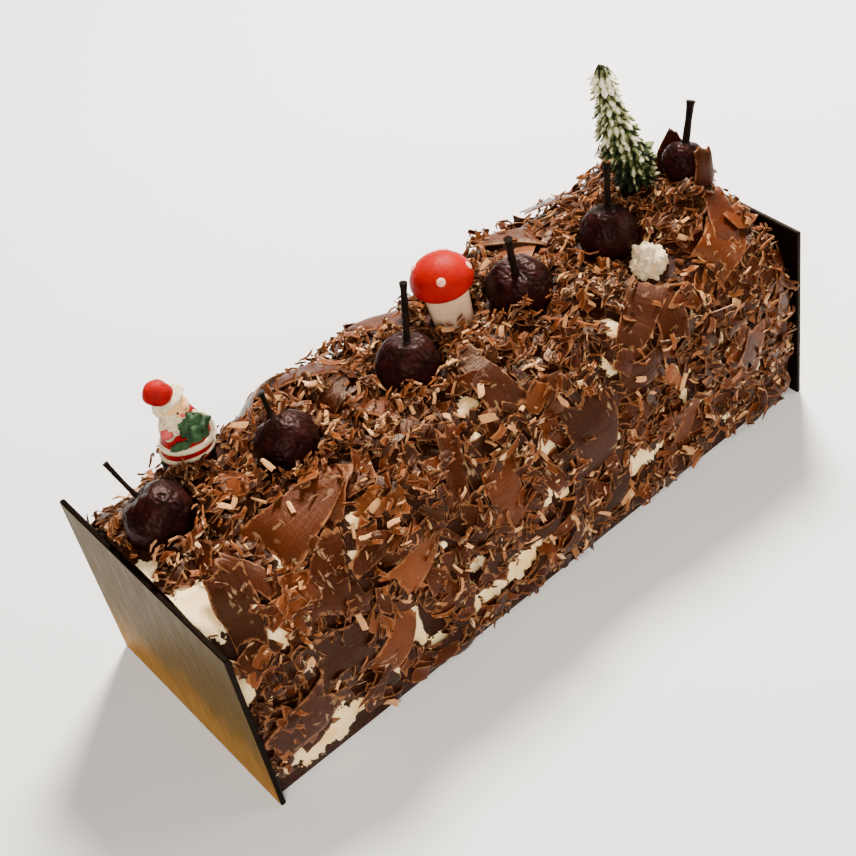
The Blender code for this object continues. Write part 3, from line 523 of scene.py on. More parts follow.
def near_toppings():
    """A test for whether any of some points come close to a topping, as the solid's flakes were tested."""
    capsules = [(cherry.x, cherry.y, cherry.z, cherry.z, cherry.radius * 1.04) for cherry in CHERRIES]
    last = CHERRIES[-1]
    capsules.append((last.x, last.y, last.z, last.z + 12 * MM, 4 * MM))
    mushroom, figure, tree = MUSHROOM_FOOT, FIGURE_FOOT, TREE_FOOT
    cap_level = mushroom.z + MUSHROOM_STEM_HEIGHT + 2 * MM
    capsules.append((mushroom.x, mushroom.y, mushroom.z, cap_level, MUSHROOM_STEM_HALF * 1.25))
    capsules.append((mushroom.x, mushroom.y, cap_level, cap_level, MUSHROOM_CAP_RADIUS * 1.04))
    middle = FIGURE_AXES @ Vector((1.2 * MM, 0, 0))
    capsules.append((middle.x, middle.y, figure.z, figure.z + 30 * MM, 11 * MM))
    fronds = TREE_AXES @ Vector((4 * MM, 0, 0))
    capsules.append((fronds.x, fronds.y, tree.z + 18 * MM, tree.z + 26 * MM, 10 * MM))
    capsules.append((tree.x, tree.y, tree.z + 20 * MM, tree.z + 50 * MM, 10 * MM))
    dab, _, _, _ = bed_frame(*DAB_PLACE)
    capsules.append((*dab, dab.z, max(DAB_HALF_SIZE)))

    def blocked(points):
        for x, y, low, high, radius in capsules:
            rise = np.maximum(np.maximum(low - points[:, 2], points[:, 2] - high), 0)
            distance = np.sqrt((points[:, 0] - x) ** 2 + (points[:, 1] - y) ** 2 + rise**2)
            if distance.min() < radius + FLAKE_CLEARANCE:
                return True
        return False

    return blocked


def inside_toppings():
    """A test for whether any of some points are in a topping: balls and columns in their own axes."""
    balls, columns = [], []
    for cherry in CHERRIES:
        middle = Matrix.Translation(cherry.centre)
        balls.append((middle, (cherry.radius,) * 3))
        stem = middle @ cherry.axes @ Matrix.Translation((0, 0, cherry.radius + cherry.stem_length / 2))
        columns.append((stem, (cherry.stem_radius * 2, cherry.stem_radius * 2, cherry.stem_length * 0.6), 2))
    half, cap = MUSHROOM_STEM_HALF * 1.05, MUSHROOM_CAP_RADIUS
    columns.append((MUSHROOM_AXES @ Matrix.Translation((0, 0, 8 * MM)), (half, half, 9 * MM), 4))
    balls.append((MUSHROOM_AXES @ Matrix.Translation((0, 0, MUSHROOM_STEM_HEIGHT)), (cap, cap, cap)))
    coat = FIGURE_AXES @ Matrix.Translation((1.2 * MM, 0, 15 * MM))
    columns.append((coat, (10.3 * MM, 8.6 * MM, 16 * MM), 2))
    columns.append((TREE_AXES @ Matrix.Translation((0, 0, 6 * MM)), (2.6 * MM, 2.6 * MM, 7 * MM), 2))
    columns.append((TREE_AXES @ Matrix.Translation((3.2 * MM, 0, 24 * MM)), (11 * MM, 9 * MM, 12 * MM), 2))
    centre, along, across, normal = bed_frame(*DAB_PLACE)
    balls.append((axes_at(centre, along, across, normal), [half * 1.1 for half in DAB_HALF_SIZE]))
    for flake in standing_flakes():
        columns.append((flake.frame, (flake.length * 0.55, flake.width * 0.5, 2 * MM), 8))
    solids = [(axes, size, 2, False) for axes, size in balls]
    solids += [(axes, size, power, True) for axes, size, power in columns]
    spaces = [(np.array(axes), np.array(size) + FINE_CLEARANCE, *form) for axes, size, *form in solids]

    def blocked(points):
        for axes, size, power, column in spaces:
            local = np.abs((points - axes[:3, 3]) @ axes[:3, :3] / size)
            across = local[:, 0] ** power + local[:, 1] ** power
            inside = (across < 1) & (local[:, 2] < 1) if column else across + local[:, 2] ** power < 1
            if inside.any():
                return True
        return False

    return blocked


def left_bare(flake):
    """Whether a flake would lie over a large bare patch."""
    for u, v, half_u, half_v, _ in BARE_PATCHES:
        across = (flake.u - u * MM) / (half_u * MM + BARE_MARGIN)
        around = (flake.v - v * MM) / (half_v * MM + BARE_MARGIN)
        if half_u * half_v >= LARGE_PATCH and across**2 + around**2 < 1:
            return True
    return False


def standing_flakes():
    """The flakes that stand on edge."""
    flakes = []
    for x, y, z, facing, length, width, bend, start, end, tone in STANDING:
        flake = Flake(0, 0, length * MM, width * MM, 0, 0, bend * MM, start, end, tone=tone)
        outward = Vector((math.cos(math.radians(facing)), math.sin(math.radians(facing)), 0))
        up = Vector((0, 0, 1))
        flake.frame = axes_at(Vector((x, y, z)) * MM, up, outward.cross(up), outward)
        flakes.append(flake)
    return flakes


def main_flakes():
    """The medium, large and listed flakes that lie at rest, where the solid has them."""
    rng = random.Random(LAYOUT_SEED)
    bed = FlakeBed(near_toppings())
    medium = [drawn_flake(rng, u, v, 11 * MM, 18 * MM, 27) for u, v in spread(MEDIUM_COUNT, 0)]
    large = [drawn_flake(rng, u, v, 19 * MM, 27 * MM, 15) for u, v in spread(LARGE_COUNT, 500)]
    by_hand = [
        Flake(
            u * MM, v * MM, length * MM, width * MM, math.radians(turn), math.radians(lift), bend * MM,
            start, end, tone=tone,
        )
        for u, v, length, width, turn, lift, bend, start, end, tone in HAND_LAID
    ]
    tones = random.Random(FINE_SEED)
    for flake in medium + large:
        flake.tone = tones.uniform(0.15, 0.8)
    strewn_first = [flake for flake in medium + large if not left_bare(flake)]
    return [flake for flake in strewn_first + by_hand if bed.lay(flake)]


@dataclass
class Layer:
    """How the loose flakes of one layer vary, in mm and degrees."""

    shortest: float
    longest: float
    narrowest: float  # of the length
    widest: float
    most_lift: float
    tightest: float
    tone: float
    tone_spread: float
    on_smooth: float  # share of them that may lie on a large smooth flake
    bare_limit: float


# The under layer's tone is set darker, as painted shade for the flakes that lie beneath the others; the
# crumbs' tone is set lighter, partly as painted glints.
UNDER = Layer(7, 15, 0.40, 0.85, 28, 5, 0.28, 0.22, 1.0, 0.30)
OVER = Layer(5, 14, 0.25, 0.75, 30, 4, 0.42, 0.24, 0.12, 0.45)
HEAP = Layer(4, 10, 0.25, 0.75, 36, 3, 0.28, 0.22, 1.0, 0.45)
CRUMBS = Layer(2.0, 6.4, 0.15, 0.50, 36, 1.5, 0.56, 0.34, 0.14, 0.85)

# How many places are tried for a layer, where in the spread they start, and how they thin out
UNDER_PLACES = (1800, 3000)
OVER_PLACES = (820, 9000, 0.6)
CRUMB_PLACES = (7000, 27000, 0.9)


def fine_flake(rng, u, v, layer):
    """A small flake of random form, which may curl either way and stand on its edge."""
    length = rng.uniform(layer.shortest, layer.longest) * MM
    most_lift = layer.most_lift * (0.25 if abs(v) > FOOT_BAND * HALF_GIRTH else 1)
    return Flake(
        u=u,
        v=v,
        length=length,
        width=length * rng.uniform(layer.narrowest, layer.widest),
        turn=rng.gauss(0, 0.7) if abs(v) < TOP_BAND and rng.random() < 0.6 else rng.uniform(0, 2 * math.pi),
        lift=math.radians(rng.uniform(-most_lift, most_lift)),
        bend_radius=rng.choice((-1, 1)) * layer.tightest * rng.uniform(1, 8) * MM,
        start_width=rng.uniform(0.65, 1.0),
        end_width=rng.uniform(0.5, 1.0),
        slant=rng.uniform(-0.5, 0.5),
        tone=min(1.0, max(0.12, rng.gauss(layer.tone, layer.tone_spread))),
    )


def covers_bare(flake, limit):
    """Whether the middle or an end of a flake would lie over bare cream."""
    reach = np.array([-0.36, 0, 0.36]) * flake.length
    u, v = flake.u + reach * math.cos(flake.turn), flake.v + reach * math.sin(flake.turn)
    return float(bareness(u, v).max()) > limit


def scattered(rng, count, start, falloff=0.0):
    """Uneven places all over the bed. With a falloff, fewer of them low down and towards the near end."""
    for u, v in spread(count, start):
        u, v = u / 0.97 + rng.uniform(-2, 2) * MM, v / 0.95 + rng.uniform(-2, 2) * MM
        low, near = (abs(v) / HALF_GIRTH) ** 2, 0.5 - u / (2 * BODY_END)
        if rng.random() > falloff * (0.75 * low + 0.35 * near) and abs(v) < HALF_GIRTH - FOOT_MARGIN:
            yield u, v


def heaped(rng):
    """Places close round the foot of each topping: so many for each, from this radius outwards."""
    rings = [(cherry.x, cherry.y, 0.9 * cherry.radius, 70) for cherry in CHERRIES]
    rings += [(FIGURE_FOOT.x, FIGURE_FOOT.y, 9 * MM, 60), (MUSHROOM_FOOT.x, MUSHROOM_FOOT.y, 9 * MM, 60)]
    rings.append((TREE_FOOT.x, TREE_FOOT.y, 4 * MM, 45))
    for x, y, radius, count in rings:
        for _ in range(count):
            around, reach = rng.uniform(0, 2 * math.pi), radius + rng.uniform(0, 7) * MM
            across = y + reach * math.sin(around)
            from_ridge = float(np.interp(abs(across), SECTION_Y, ARC))
            yield x + reach * math.cos(around), math.copysign(from_ridge, across)


def strewn(bed, rng, places, layer):
    """Fine flakes laid one by one on the heap, clear of the bare cream."""
    laid = []
    for u, v in places:
        flake = fine_flake(rng, u, v, layer)
        if covers_bare(flake, layer.bare_limit) or bed.is_smooth(u, v) and rng.random() > layer.on_smooth:
            continue
        if bed.settle(flake, u, v, FINE_STEEPEST, FINE_RESTS_ON, FINE_SINK):
            laid.append(flake)
    return laid


# ------------------------------------------------------------------ making meshes


def show(obj, finish, replaced=()):
    """Give a finished piece its material, hang it under the root and hide the parts that it replaces."""
    obj.data.materials.append(finish)
    bpy.context.scene.collection.objects.link(obj)
    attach(obj, "root")
    if replaced:
        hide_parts(*replaced)
    return obj


def piece(name, bm, finish, replaced=(), sharp=40):
    """A finished piece from a bmesh, shaded smooth up to its sharp edges."""
    bmesh.ops.recalc_face_normals(bm, faces=bm.faces)
    mesh = bpy.data.meshes.new(name)
    bm.to_mesh(mesh)
    bm.free()
    mesh.shade_smooth()
    mesh.set_sharp_from_angle(angle=math.radians(sharp))
    return show(bpy.data.objects.new(name, mesh), finish, replaced)


def grow(bm, faces, kind=bmesh.types.BMVert):
    """Extrude these faces. Returns the new vertices, or the new faces."""
    grown = bmesh.ops.extrude_face_region(bm, geom=faces)["geom"]
    return [item for item in grown if isinstance(item, kind)]


def moved(bm, matrix):
    """The bmesh, moved by a matrix."""
    bmesh.ops.transform(bm, matrix=matrix, verts=bm.verts)
    return bm


def joined_slips(name, points, faces, attributes, finish, replaced, sharp):
    """Many slips of one template as one piece, with attributes at their points."""
    mesh = bpy.data.meshes.new(name)
    starts = np.arange(len(points)) * len(points[0])
    corners = (faces[None] + starts[:, None, None]).reshape(-1, faces.shape[1])
    mesh.from_pydata(np.concatenate(points).tolist(), [], corners.tolist())
    for label, rows in attributes.items():
        values = rows.astype(np.float32)
        kind, field = ("FLOAT_VECTOR", "vector") if values.ndim > 1 else ("FLOAT", "value")
        mesh.attributes.new(label, kind, "POINT").data.foreach_set(field, values.ravel())
    mesh.shade_smooth()
    mesh.set_sharp_from_angle(angle=math.radians(sharp))
    show(bpy.data.objects.new(name, mesh), finish, replaced)


def flake_template(lengths, widths):
    """One flat slip of chocolate: its s, t and layer at each vertex, and its faces."""
    bm = bmesh.new()
    bmesh.ops.create_grid(bm, x_segments=lengths, y_segments=widths, size=1)
    bmesh.ops.translate(bm, verts=grow(bm, bm.faces[:]), vec=(0, 0, 1))
    bmesh.ops.recalc_face_normals(bm, faces=bm.faces)
    bm.verts.index_update()
    verts = np.array([vert.co for vert in bm.verts])
    faces = np.array([[vert.index for vert in face.verts] for face in bm.faces])
    bm.free()
    return verts, faces


def broken_outline(s, t, draw, ends, sides):
    """s and t pushed in and out, so that the ends break unevenly and the sides run a little wavy."""
    phase = draw.uniform(0, 2 * math.pi, 6)
    grit = np.sin(s * 91.7 + t * 47.3 + phase[0]) * 43758.5
    grit = grit - np.floor(grit) - 0.5
    end = np.sin(2.6 * t + phase[1] + 2 * np.sign(s)) + 0.6 * np.sin(6.1 * t + phase[2]) + 0.7 * grit
    side = np.sin(2.3 * s + phase[3] + 2 * np.sign(t)) + 0.5 * np.sin(5.7 * s + phase[4]) + 0.5 * grit
    return s * (1 + ends * end * np.abs(s)), t * (1 + sides * side * np.abs(t))


def joined_flakes(name, flakes, cuts, thickness, seed, fleck_and_glint_share, ends, sides, finish):
    """All the flakes of one kind as one mesh, each with its own grain, tone and rim."""
    verts, faces = flake_template(*cuts)
    draw = np.random.default_rng(seed)
    s0, t0, layer = verts.T
    rim = np.maximum(np.abs(s0), np.abs(t0))
    points, grains, tones = [], [], []
    for flake in flakes:
        s, t = broken_outline(s0, t0, draw, ends, sides)
        local = flake.surface(s, t)
        thin = thickness * (1 - 0.55 * rim**4)
        wave = draw.uniform(0.02, 0.05) * flake.width * np.sin(s * draw.uniform(2, 5) + draw.uniform(0, 6))
        local[:, 2] += layer * thin + wave * (1 - 0.5 * np.abs(t)) + 0.3 * (FLAKE_THICKNESS - thickness)
        placed = rows_moved(local, flake.frame)
        placed[:, 0] = placed[:, 0].clip(-BODY_END + GAP, BODY_END - GAP)
        placed[:, 1] = placed[:, 1].clip(-OUTLINE_LIMIT, OUTLINE_LIMIT)
        placed[:, 2] = placed[:, 2].clip(FOOT_LIMIT, None)
        points.append(placed)
        along, across = s * flake.length / 2, t * flake.width / 2
        if draw.uniform() < 0.4:
            along, across = across, along
        grains.append(np.stack([along, across, np.full(len(s), draw.uniform(0, 1))], -1))
        tones.append(np.full(len(s), flake.tone))
    attributes = {
        "grain": np.concatenate(grains),
        "tone": np.concatenate(tones),
        "rim": np.tile(rim, len(flakes)),
        "fleck_and_glint_share": np.full(len(flakes) * len(verts), fleck_and_glint_share),
    }
    joined_slips(name, points, faces, attributes, finish, ("cake_log",), 50)


def lathe(profile, steps):
    """A closed turned bmesh, from (radius, height) rows that run from one pole to the other."""
    bm = bmesh.new()
    verts = [bm.verts.new((radius, 0, height)) for radius, height in profile]
    edges = [bm.edges.new(pair) for pair in zip(verts, verts[1:])]
    turn = {"cent": (0, 0, 0), "axis": (0, 0, 1), "angle": 2 * math.pi}
    bmesh.ops.spin(bm, geom=verts + edges, steps=steps, use_merge=True, **turn)
    bmesh.ops.remove_doubles(bm, verts=bm.verts, dist=1e-6)
    return bm


def ball(centre, half_size, axes, segments=24, lumps=0.0, pitch=3 * MM):
    """A bmesh ball stretched to its half sizes, with soft lumps, placed by the ornament's axes. In mm."""
    bm = bmesh.new()
    bmesh.ops.create_uvsphere(bm, u_segments=segments, v_segments=segments * 2 // 3, radius=1)
    moved(bm, Matrix.Translation(Vector(centre) * MM) @ Matrix.Diagonal((*(Vector(half_size) * MM), 1)))
    if lumps:
        for vert in bm.verts:
            outward = (vert.co - Vector(centre) * MM).normalized()
            vert.co += outward * lumps * MM * noise.noise(vert.co / pitch)
    return moved(bm, axes)


def swept(points, radii, sides=12):
    """A round rod through the points: a disc extruded and turned from each point to the next."""
    bm = bmesh.new()
    bmesh.ops.create_circle(bm, cap_ends=True, segments=sides, radius=1)
    cap = bm.faces[:]
    centre, facing, size = Vector((0, 0, 0)), Vector((0, 0, 1)), 1.0
    for number, (point, radius) in enumerate(zip(points, radii)):
        before, after = points[max(number - 1, 0)], points[min(number + 1, len(points) - 1)]
        heading = (after - before).normalized()
        if number:
            cap = grow(bm, cap, bmesh.types.BMFace)
        turn = facing.rotation_difference(heading).to_matrix().to_4x4()
        move = Matrix.Translation(point) @ turn @ Matrix.Scale(radius / size, 4)
        bmesh.ops.transform(bm, matrix=move @ Matrix.Translation(-centre), verts=cap[0].verts[:])
        centre, facing, size = Vector(point), heading, radius
    return bm


def merged(*parts):
    """Several bmeshes as one."""
    whole = parts[0]
    for part in parts[1:]:
        mesh = bpy.data.meshes.new("joining")
        part.to_mesh(mesh)
        part.free()
        whole.from_mesh(mesh)
        bpy.data.meshes.remove(mesh)
    return whole


# ------------------------------------------------------------------ materials


class Nodes:
    """Builds one node tree, of a material or of a group."""

    def __init__(self, tree):
        self.tree = tree

    def fill(self, sockets, values):
        """Give each named socket its value, or link it where the value is another node's output."""
        for key, value in values.items():
            if isinstance(value, bpy.types.NodeSocket):
                self.tree.links.new(value, sockets[key])
            else:
                sockets[key].default_value = value

    def put(self, kind, inputs=None, **settings):
        """Add a node with its settings and inputs. Returns its outputs."""
        node = self.tree.nodes.new(f"ShaderNode{kind}")
        for name, value in settings.items():
            setattr(node, name, value)
        self.fill(node.inputs, inputs or {})
        return node.outputs

    def math(self, operation, *values, clamp=False):
        """A math node's result."""
        return self.put("Math", dict(enumerate(values)), operation=operation, use_clamp=clamp)[0]

    def noise(self, place, scale, detail, roughness=0.5):
        """Noise from 0 to 1."""
        inputs = {"Vector": place, "Scale": scale, "Detail": detail, "Roughness": roughness}
        return self.put("TexNoise", inputs)["Fac"]

    def parts(self, vector):
        """The x, y and z of a vector."""
        return self.put("SeparateXYZ", {0: vector})

    def spans(self, value, low, high):
        """A value rescaled from this span to the one from 0 to 1, and held within it."""
        return self.put("MapRange", {"Value": value, "From Min": low, "From Max": high}, clamp=True)["Result"]

    def attribute(self, name, output="Fac"):
        """An attribute of the mesh."""
        return self.put("Attribute", attribute_name=name)[output]

    def mottling(self, place, scale):
        """The mottling group's outputs at this scale."""
        return self.put("Group", {"Place": place, "Scale": scale}, node_tree=MOTTLING)

    def blend(self, factor, first, second):
        """One colour mixed over another."""
        colours = {6: first, 7: second}
        for slot, colour in colours.items():
            if isinstance(colour, tuple):
                colours[slot] = (*colour, 1)
        return self.put("Mix", {0: factor, **colours}, data_type="RGBA")[2]

    def tinted(self, colour, mask, amount, tint):
        """A colour with a tint laid over it where the mask is, by this amount."""
        return self.blend(self.math("MULTIPLY", mask, amount), colour, tint)

    def ramp(self, factor, *stops):
        """A colour ramp through (position, colour) stops."""
        node = self.tree.nodes.new("ShaderNodeValToRGB")
        self.fill(node.inputs, {"Fac": factor})
        elements = node.color_ramp.elements
        while len(elements) < len(stops):
            elements.new(0.5)
        for element, (position, colour) in zip(elements, stops):
            element.position = position
            element.color = (*colour, 1)
        return node.outputs["Color"]


class Finish(Nodes):
    """Builds one material round its Principled shader."""

    def __init__(self, name):
        self.material = bpy.data.materials.new(name)
        self.material.use_nodes = True
        super().__init__(self.material.node_tree)
        self.place = self.put("TexCoord")["Object"]

    def shade(self, colour, rough, height, depth, gloss, tint=(1.0, 1.0, 1.0)):
        """Fill the shader, with relief of this depth in metres. Returns the finished material."""
        normal = self.put("Bump", {"Height": height, "Distance": depth, "Strength": 1.0})["Normal"]
        self.fill(self.tree.nodes["Principled BSDF"].inputs, {
            "Base Color": colour,
            "Roughness": rough,
            "Normal": normal,
            "Specular IOR Level": gloss,
            "Specular Tint": (*tint, 1),
        })
        return self.material


def new_group(name, inputs, outputs):
    """An empty node group with named sockets: its builder, its inputs and its outputs."""
    group = bpy.data.node_groups.new(name, "ShaderNodeTree")
    for label, kind in inputs.items():
        group.interface.new_socket(label, in_out="INPUT", socket_type=f"NodeSocket{kind}")
    for label in outputs:
        group.interface.new_socket(label, in_out="OUTPUT", socket_type="NodeSocketFloat")
    given, out = group.nodes.new("NodeGroupInput"), group.nodes.new("NodeGroupOutput")
    return Nodes(group), given.outputs, out.inputs


def mottling_group():
    """Soft uneven patches with finer ones inside them."""
    nodes, given, out = new_group("mottling", {"Place": "Vector", "Scale": "Float"}, ("Mask", "Fine"))
    place, scale = given["Place"], given["Scale"]
    broad = nodes.noise(place, scale, 3.0, 0.55)
    fine = nodes.noise(place, nodes.math("MULTIPLY", scale, 6.0), 4.0, 0.65)
    nodes.fill(out, {"Mask": nodes.spans(broad, 0.32, 0.68), "Fine": nodes.spans(fine, 0.25, 0.75)})
    return nodes.tree


def shaving_group():
    """Fine lines that the blade leaves along the grain, and slower ripples across it."""
    inputs = {"Grain": "Vector", "Spacing": "Float"}
    nodes, given, out = new_group("shaving_lines", inputs, ("Lines", "Ripples"))
    along, across, luck = nodes.parts(given["Grain"])
    shift = nodes.math("MULTIPLY", luck, 57.0)

    def pattern(along_pitch, across_pitch, detail, roughness):
        """Noise of these pitches, counted in spacings."""
        stretched = [
            nodes.math("DIVIDE", part, nodes.math("MULTIPLY", given["Spacing"], pitch))
            for part, pitch in ((along, along_pitch), (across, across_pitch))
        ]
        place = nodes.put("CombineXYZ", dict(enumerate((*stretched, shift))))[0]
        return nodes.spans(nodes.noise(place, 1.0, detail, roughness), 0.3, 0.7)

    nodes.fill(out, {"Lines": pattern(22.0, 1.0, 3.0, 0.6), "Ripples": pattern(5.0, 30.0, 1.5, 0.5)})
    return nodes.tree


def worn_edge_and_highlight_group():
    """The lighter, rougher line where a piece has broken or worn, which also serves as a painted highlight
    along the flakes' edges.
    """
    inputs = {"Rim": "Float", "Place": "Vector", "Width": "Float"}
    nodes, given, out = new_group("worn_edge_and_highlight", inputs, ("Mask",))
    broken = nodes.noise(given["Place"], 420.0, 3.0)
    uneven = nodes.math("MULTIPLY_ADD", broken, 0.5, nodes.math("SUBTRACT", given["Rim"], 0.25))
    worn = nodes.math("SUBTRACT", uneven, nodes.math("SUBTRACT", 1.0, given["Width"]))
    nodes.fill(out, {"Mask": nodes.math("DIVIDE", worn, given["Width"], clamp=True)})
    return nodes.tree


def flecks_and_glints_group():
    """Clusters of short pale shreds: cream and the finest shavings that cling to the flakes, and painted
    glints on them.
    """
    nodes, given, out = new_group("flecks_and_glints", {"Place": "Vector", "Amount": "Float"}, ("Mask",))
    shreds = []
    for stretch in ((0.3, 1.0, 0.8), (1.0, 0.35, 0.3)):
        drawn = nodes.put("VectorMath", {0: given["Place"], 1: stretch}, operation="MULTIPLY")["Vector"]
        shreds.append(nodes.noise(drawn, 520.0, 2.0))
    shred = nodes.spans(nodes.math("MAXIMUM", *shreds), 0.64, 0.69)
    cluster = nodes.spans(nodes.noise(given["Place"], 60.0, 2.0), 0.48, 0.60)
    clustered = nodes.math("MULTIPLY", shred, cluster)
    nodes.fill(out, {"Mask": nodes.math("MULTIPLY", clustered, given["Amount"], clamp=True)})
    return nodes.tree


MOTTLING, SHAVING, WORN_EDGE_AND_HIGHLIGHT, FLECKS_AND_GLINTS = mottling_group(), shaving_group(), worn_edge_and_highlight_group(), flecks_and_glints_group()


def chocolate_finish():
    """Shaved milk chocolate: satin, lined by the blade, pale along its broken rims and flecked with pale
    shreds; both pale marks are partly painted highlights.
    """
    nodes = Finish("shaved_chocolate")
    grain, place = nodes.attribute("grain", "Vector"), nodes.place
    lined = nodes.put("Group", {"Grain": grain, "Spacing": 0.00035}, node_tree=SHAVING)
    mottled = nodes.mottling(place, 90.0)
    rim = {"Rim": nodes.attribute("rim"), "Place": place, "Width": 0.10}
    edge = nodes.put("Group", rim, node_tree=WORN_EDGE_AND_HIGHLIGHT)["Mask"]
    amount = {"Place": place, "Amount": nodes.attribute("fleck_and_glint_share")}
    flecks_and_glints = nodes.put("Group", amount, node_tree=FLECKS_AND_GLINTS)["Mask"]
    # Tone differs from flake to flake; the pale top end of the ramp is also a painted highlight on the
    # lightest flakes and crumbs.
    colour = nodes.ramp(
        nodes.attribute("tone"),
        (0.0, (0.003, 0.0004, 0.0001)), (0.22, (0.012, 0.0015, 0.0002)), (0.45, (0.038, 0.0058, 0.0008)),
        (0.68, (0.100, 0.0195, 0.0028)), (0.88, (0.230, 0.0650, 0.0150)), (1.0, (0.700, 0.3500, 0.1450)),
    )
    colour = nodes.tinted(colour, lined["Lines"], 0.18, (0.13, 0.030, 0.006))
    colour = nodes.tinted(colour, mottled["Mask"], 0.38, (0.008, 0.0012, 0.0002))
    # Paler along the broken rims: partly wear, partly a painted highlight on the flakes' edges.
    colour = nodes.tinted(colour, edge, 0.34, (0.46, 0.19, 0.075))
    # Pale flecks: cream shreds and painted glints.
    colour = nodes.blend(flecks_and_glints, colour, (0.80, 0.50, 0.26))
    _, _, luck = nodes.parts(grain)
    rough = nodes.math("MULTIPLY_ADD", mottled["Fine"], 0.14, 0.22)
    rough = nodes.math("MULTIPLY_ADD", luck, 0.20, rough)
    rough = nodes.math("MULTIPLY_ADD", lined["Lines"], 0.08, rough)
    height = nodes.math("MULTIPLY_ADD", lined["Ripples"], 2.0, lined["Lines"])
    return nodes.shade(colour, rough, height, 0.00006, 0.18, (1.0, 0.66, 0.42))


def cream_finish():
    """Whipped cream, painted near black as shade wherever the flakes cover it, except in its bare places."""
    nodes = Finish("whipped_cream")
    mottled = nodes.mottling(nodes.place, 130.0)
    clean = nodes.blend(mottled["Mask"], (0.92, 0.58, 0.23), (1.0, 0.80, 0.46))
    # Painted shade: the covered cream, seen only in the gaps between the flakes, is coloured near black.
    painted_gap_shade = nodes.blend(mottled["Fine"], (0.006, 0.0015, 0.0006), (0.045, 0.012, 0.004))
    bare = nodes.math("MULTIPLY_ADD", mottled["Fine"], 0.9, nodes.attribute("bare"))
    colour = nodes.blend(nodes.spans(bare, 0.80, 0.95), painted_gap_shade, clean)
    return nodes.shade(colour, 0.5, mottled["Fine"], 0.00018, 0.1)


def cherry_finish():
    """Dark preserved cherry: wet, near black, purple where light catches it."""
    nodes = Finish("dark_cherry")
    mottled = nodes.mottling(nodes.place, 160.0)
    colour = nodes.blend(mottled["Mask"], (0.003, 0.0005, 0.0004), (0.016, 0.0026, 0.0020))
    rough = nodes.math("MULTIPLY_ADD", mottled["Fine"], 0.22, 0.32)
    return nodes.shade(colour, rough, mottled["Mask"], 0.0003, 0.09, (1.0, 0.55, 0.50))


def stem_finish():
    """Dry dark stem with long fibres."""
    nodes = Finish("cherry_stem")
    stretched = nodes.put("Mapping", {"Vector": nodes.place, "Scale": (1.0, 1.0, 0.12)})[0]
    mottled = nodes.mottling(stretched, 900.0)
    colour = nodes.blend(mottled["Mask"], (0.002, 0.001, 0.0006), (0.014, 0.006, 0.003))
    return nodes.shade(colour, 0.6, mottled["Fine"], 0.0002, 0.05)


def plate_finish(name, outward):
    """A thin plate: outside, a painted reflection, bronze-brown above and turning to gold at the foot where
    the gold board would be mirrored; dark inside and on the edges.
    """
    nodes = Finish(name)
    facing, _, _ = nodes.parts(nodes.put("TexCoord")["Normal"])
    outside = nodes.spans(nodes.math("MULTIPLY", facing, outward), 0.80, 0.97)
    _, _, height = nodes.parts(nodes.place)
    streaks = {"Vector": nodes.place, "Rotation": (0.5, 0, 0), "Scale": (1, 1, 0.22)}
    mottled = nodes.mottling(nodes.put("Mapping", streaks)[0], 60.0)
    wavering = nodes.math("MULTIPLY_ADD", mottled["Mask"], 0.012, height)
    # Painted reflection on the outer face: gold towards the foot, as the left-out gold board would be
    # mirrored there, bronze-brown above.
    painted_reflection = nodes.ramp(
        nodes.spans(wavering, 0.0, 0.09),
        (0.0, (0.38, 0.16, 0.001)), (0.22, (0.25, 0.110, 0.001)), (0.40, (0.105, 0.056, 0.002)),
        (0.60, (0.084, 0.049, 0.006)), (0.82, (0.082, 0.052, 0.015)), (1.0, (0.095, 0.066, 0.030)),
    )
    painted_reflection = nodes.tinted(painted_reflection, mottled["Fine"], 0.36, (0.030, 0.016, 0.004))
    colour = nodes.blend(outside, (0.003, 0.001, 0.0004), painted_reflection)
    rough = nodes.math("MULTIPLY_ADD", mottled["Fine"], 0.15, 0.42)
    return nodes.shade(colour, rough, mottled["Fine"], 0.00008, 0.04, (1.0, 0.80, 0.50))


def paint_finish(name, colour, second, roughness=0.45, scale=220.0, depth=0.00012, gloss=0.2):
    """Ornament paint, a little uneven over its lumps."""
    nodes = Finish(name)
    mottled = nodes.mottling(nodes.place, scale)
    tint = nodes.blend(mottled["Mask"], second, colour)
    rough = nodes.math("MULTIPLY_ADD", mottled["Fine"], 0.2, roughness - 0.1)
    return nodes.shade(tint, rough, mottled["Fine"], depth, gloss)


def fir_finish():
    """Green blades frosted pale towards their tips."""
    nodes = Finish("frosted_fir")
    mottled = nodes.mottling(nodes.place, 420.0)
    frosted = nodes.math("MULTIPLY_ADD", mottled["Mask"], 0.45, nodes.attribute("frost"))
    colour = nodes.ramp(
        nodes.spans(frosted, 0.35, 1.05),
        (0.0, (0.002, 0.004, 0.001)), (0.35, (0.024, 0.038, 0.008)), (0.62, (0.24, 0.24, 0.10)),
        (1.0, (0.95, 0.92, 0.66)),
    )
    return nodes.shade(colour, 0.6, mottled["Fine"], 0.0002, 0.1)


# ------------------------------------------------------------------ cream and chocolate


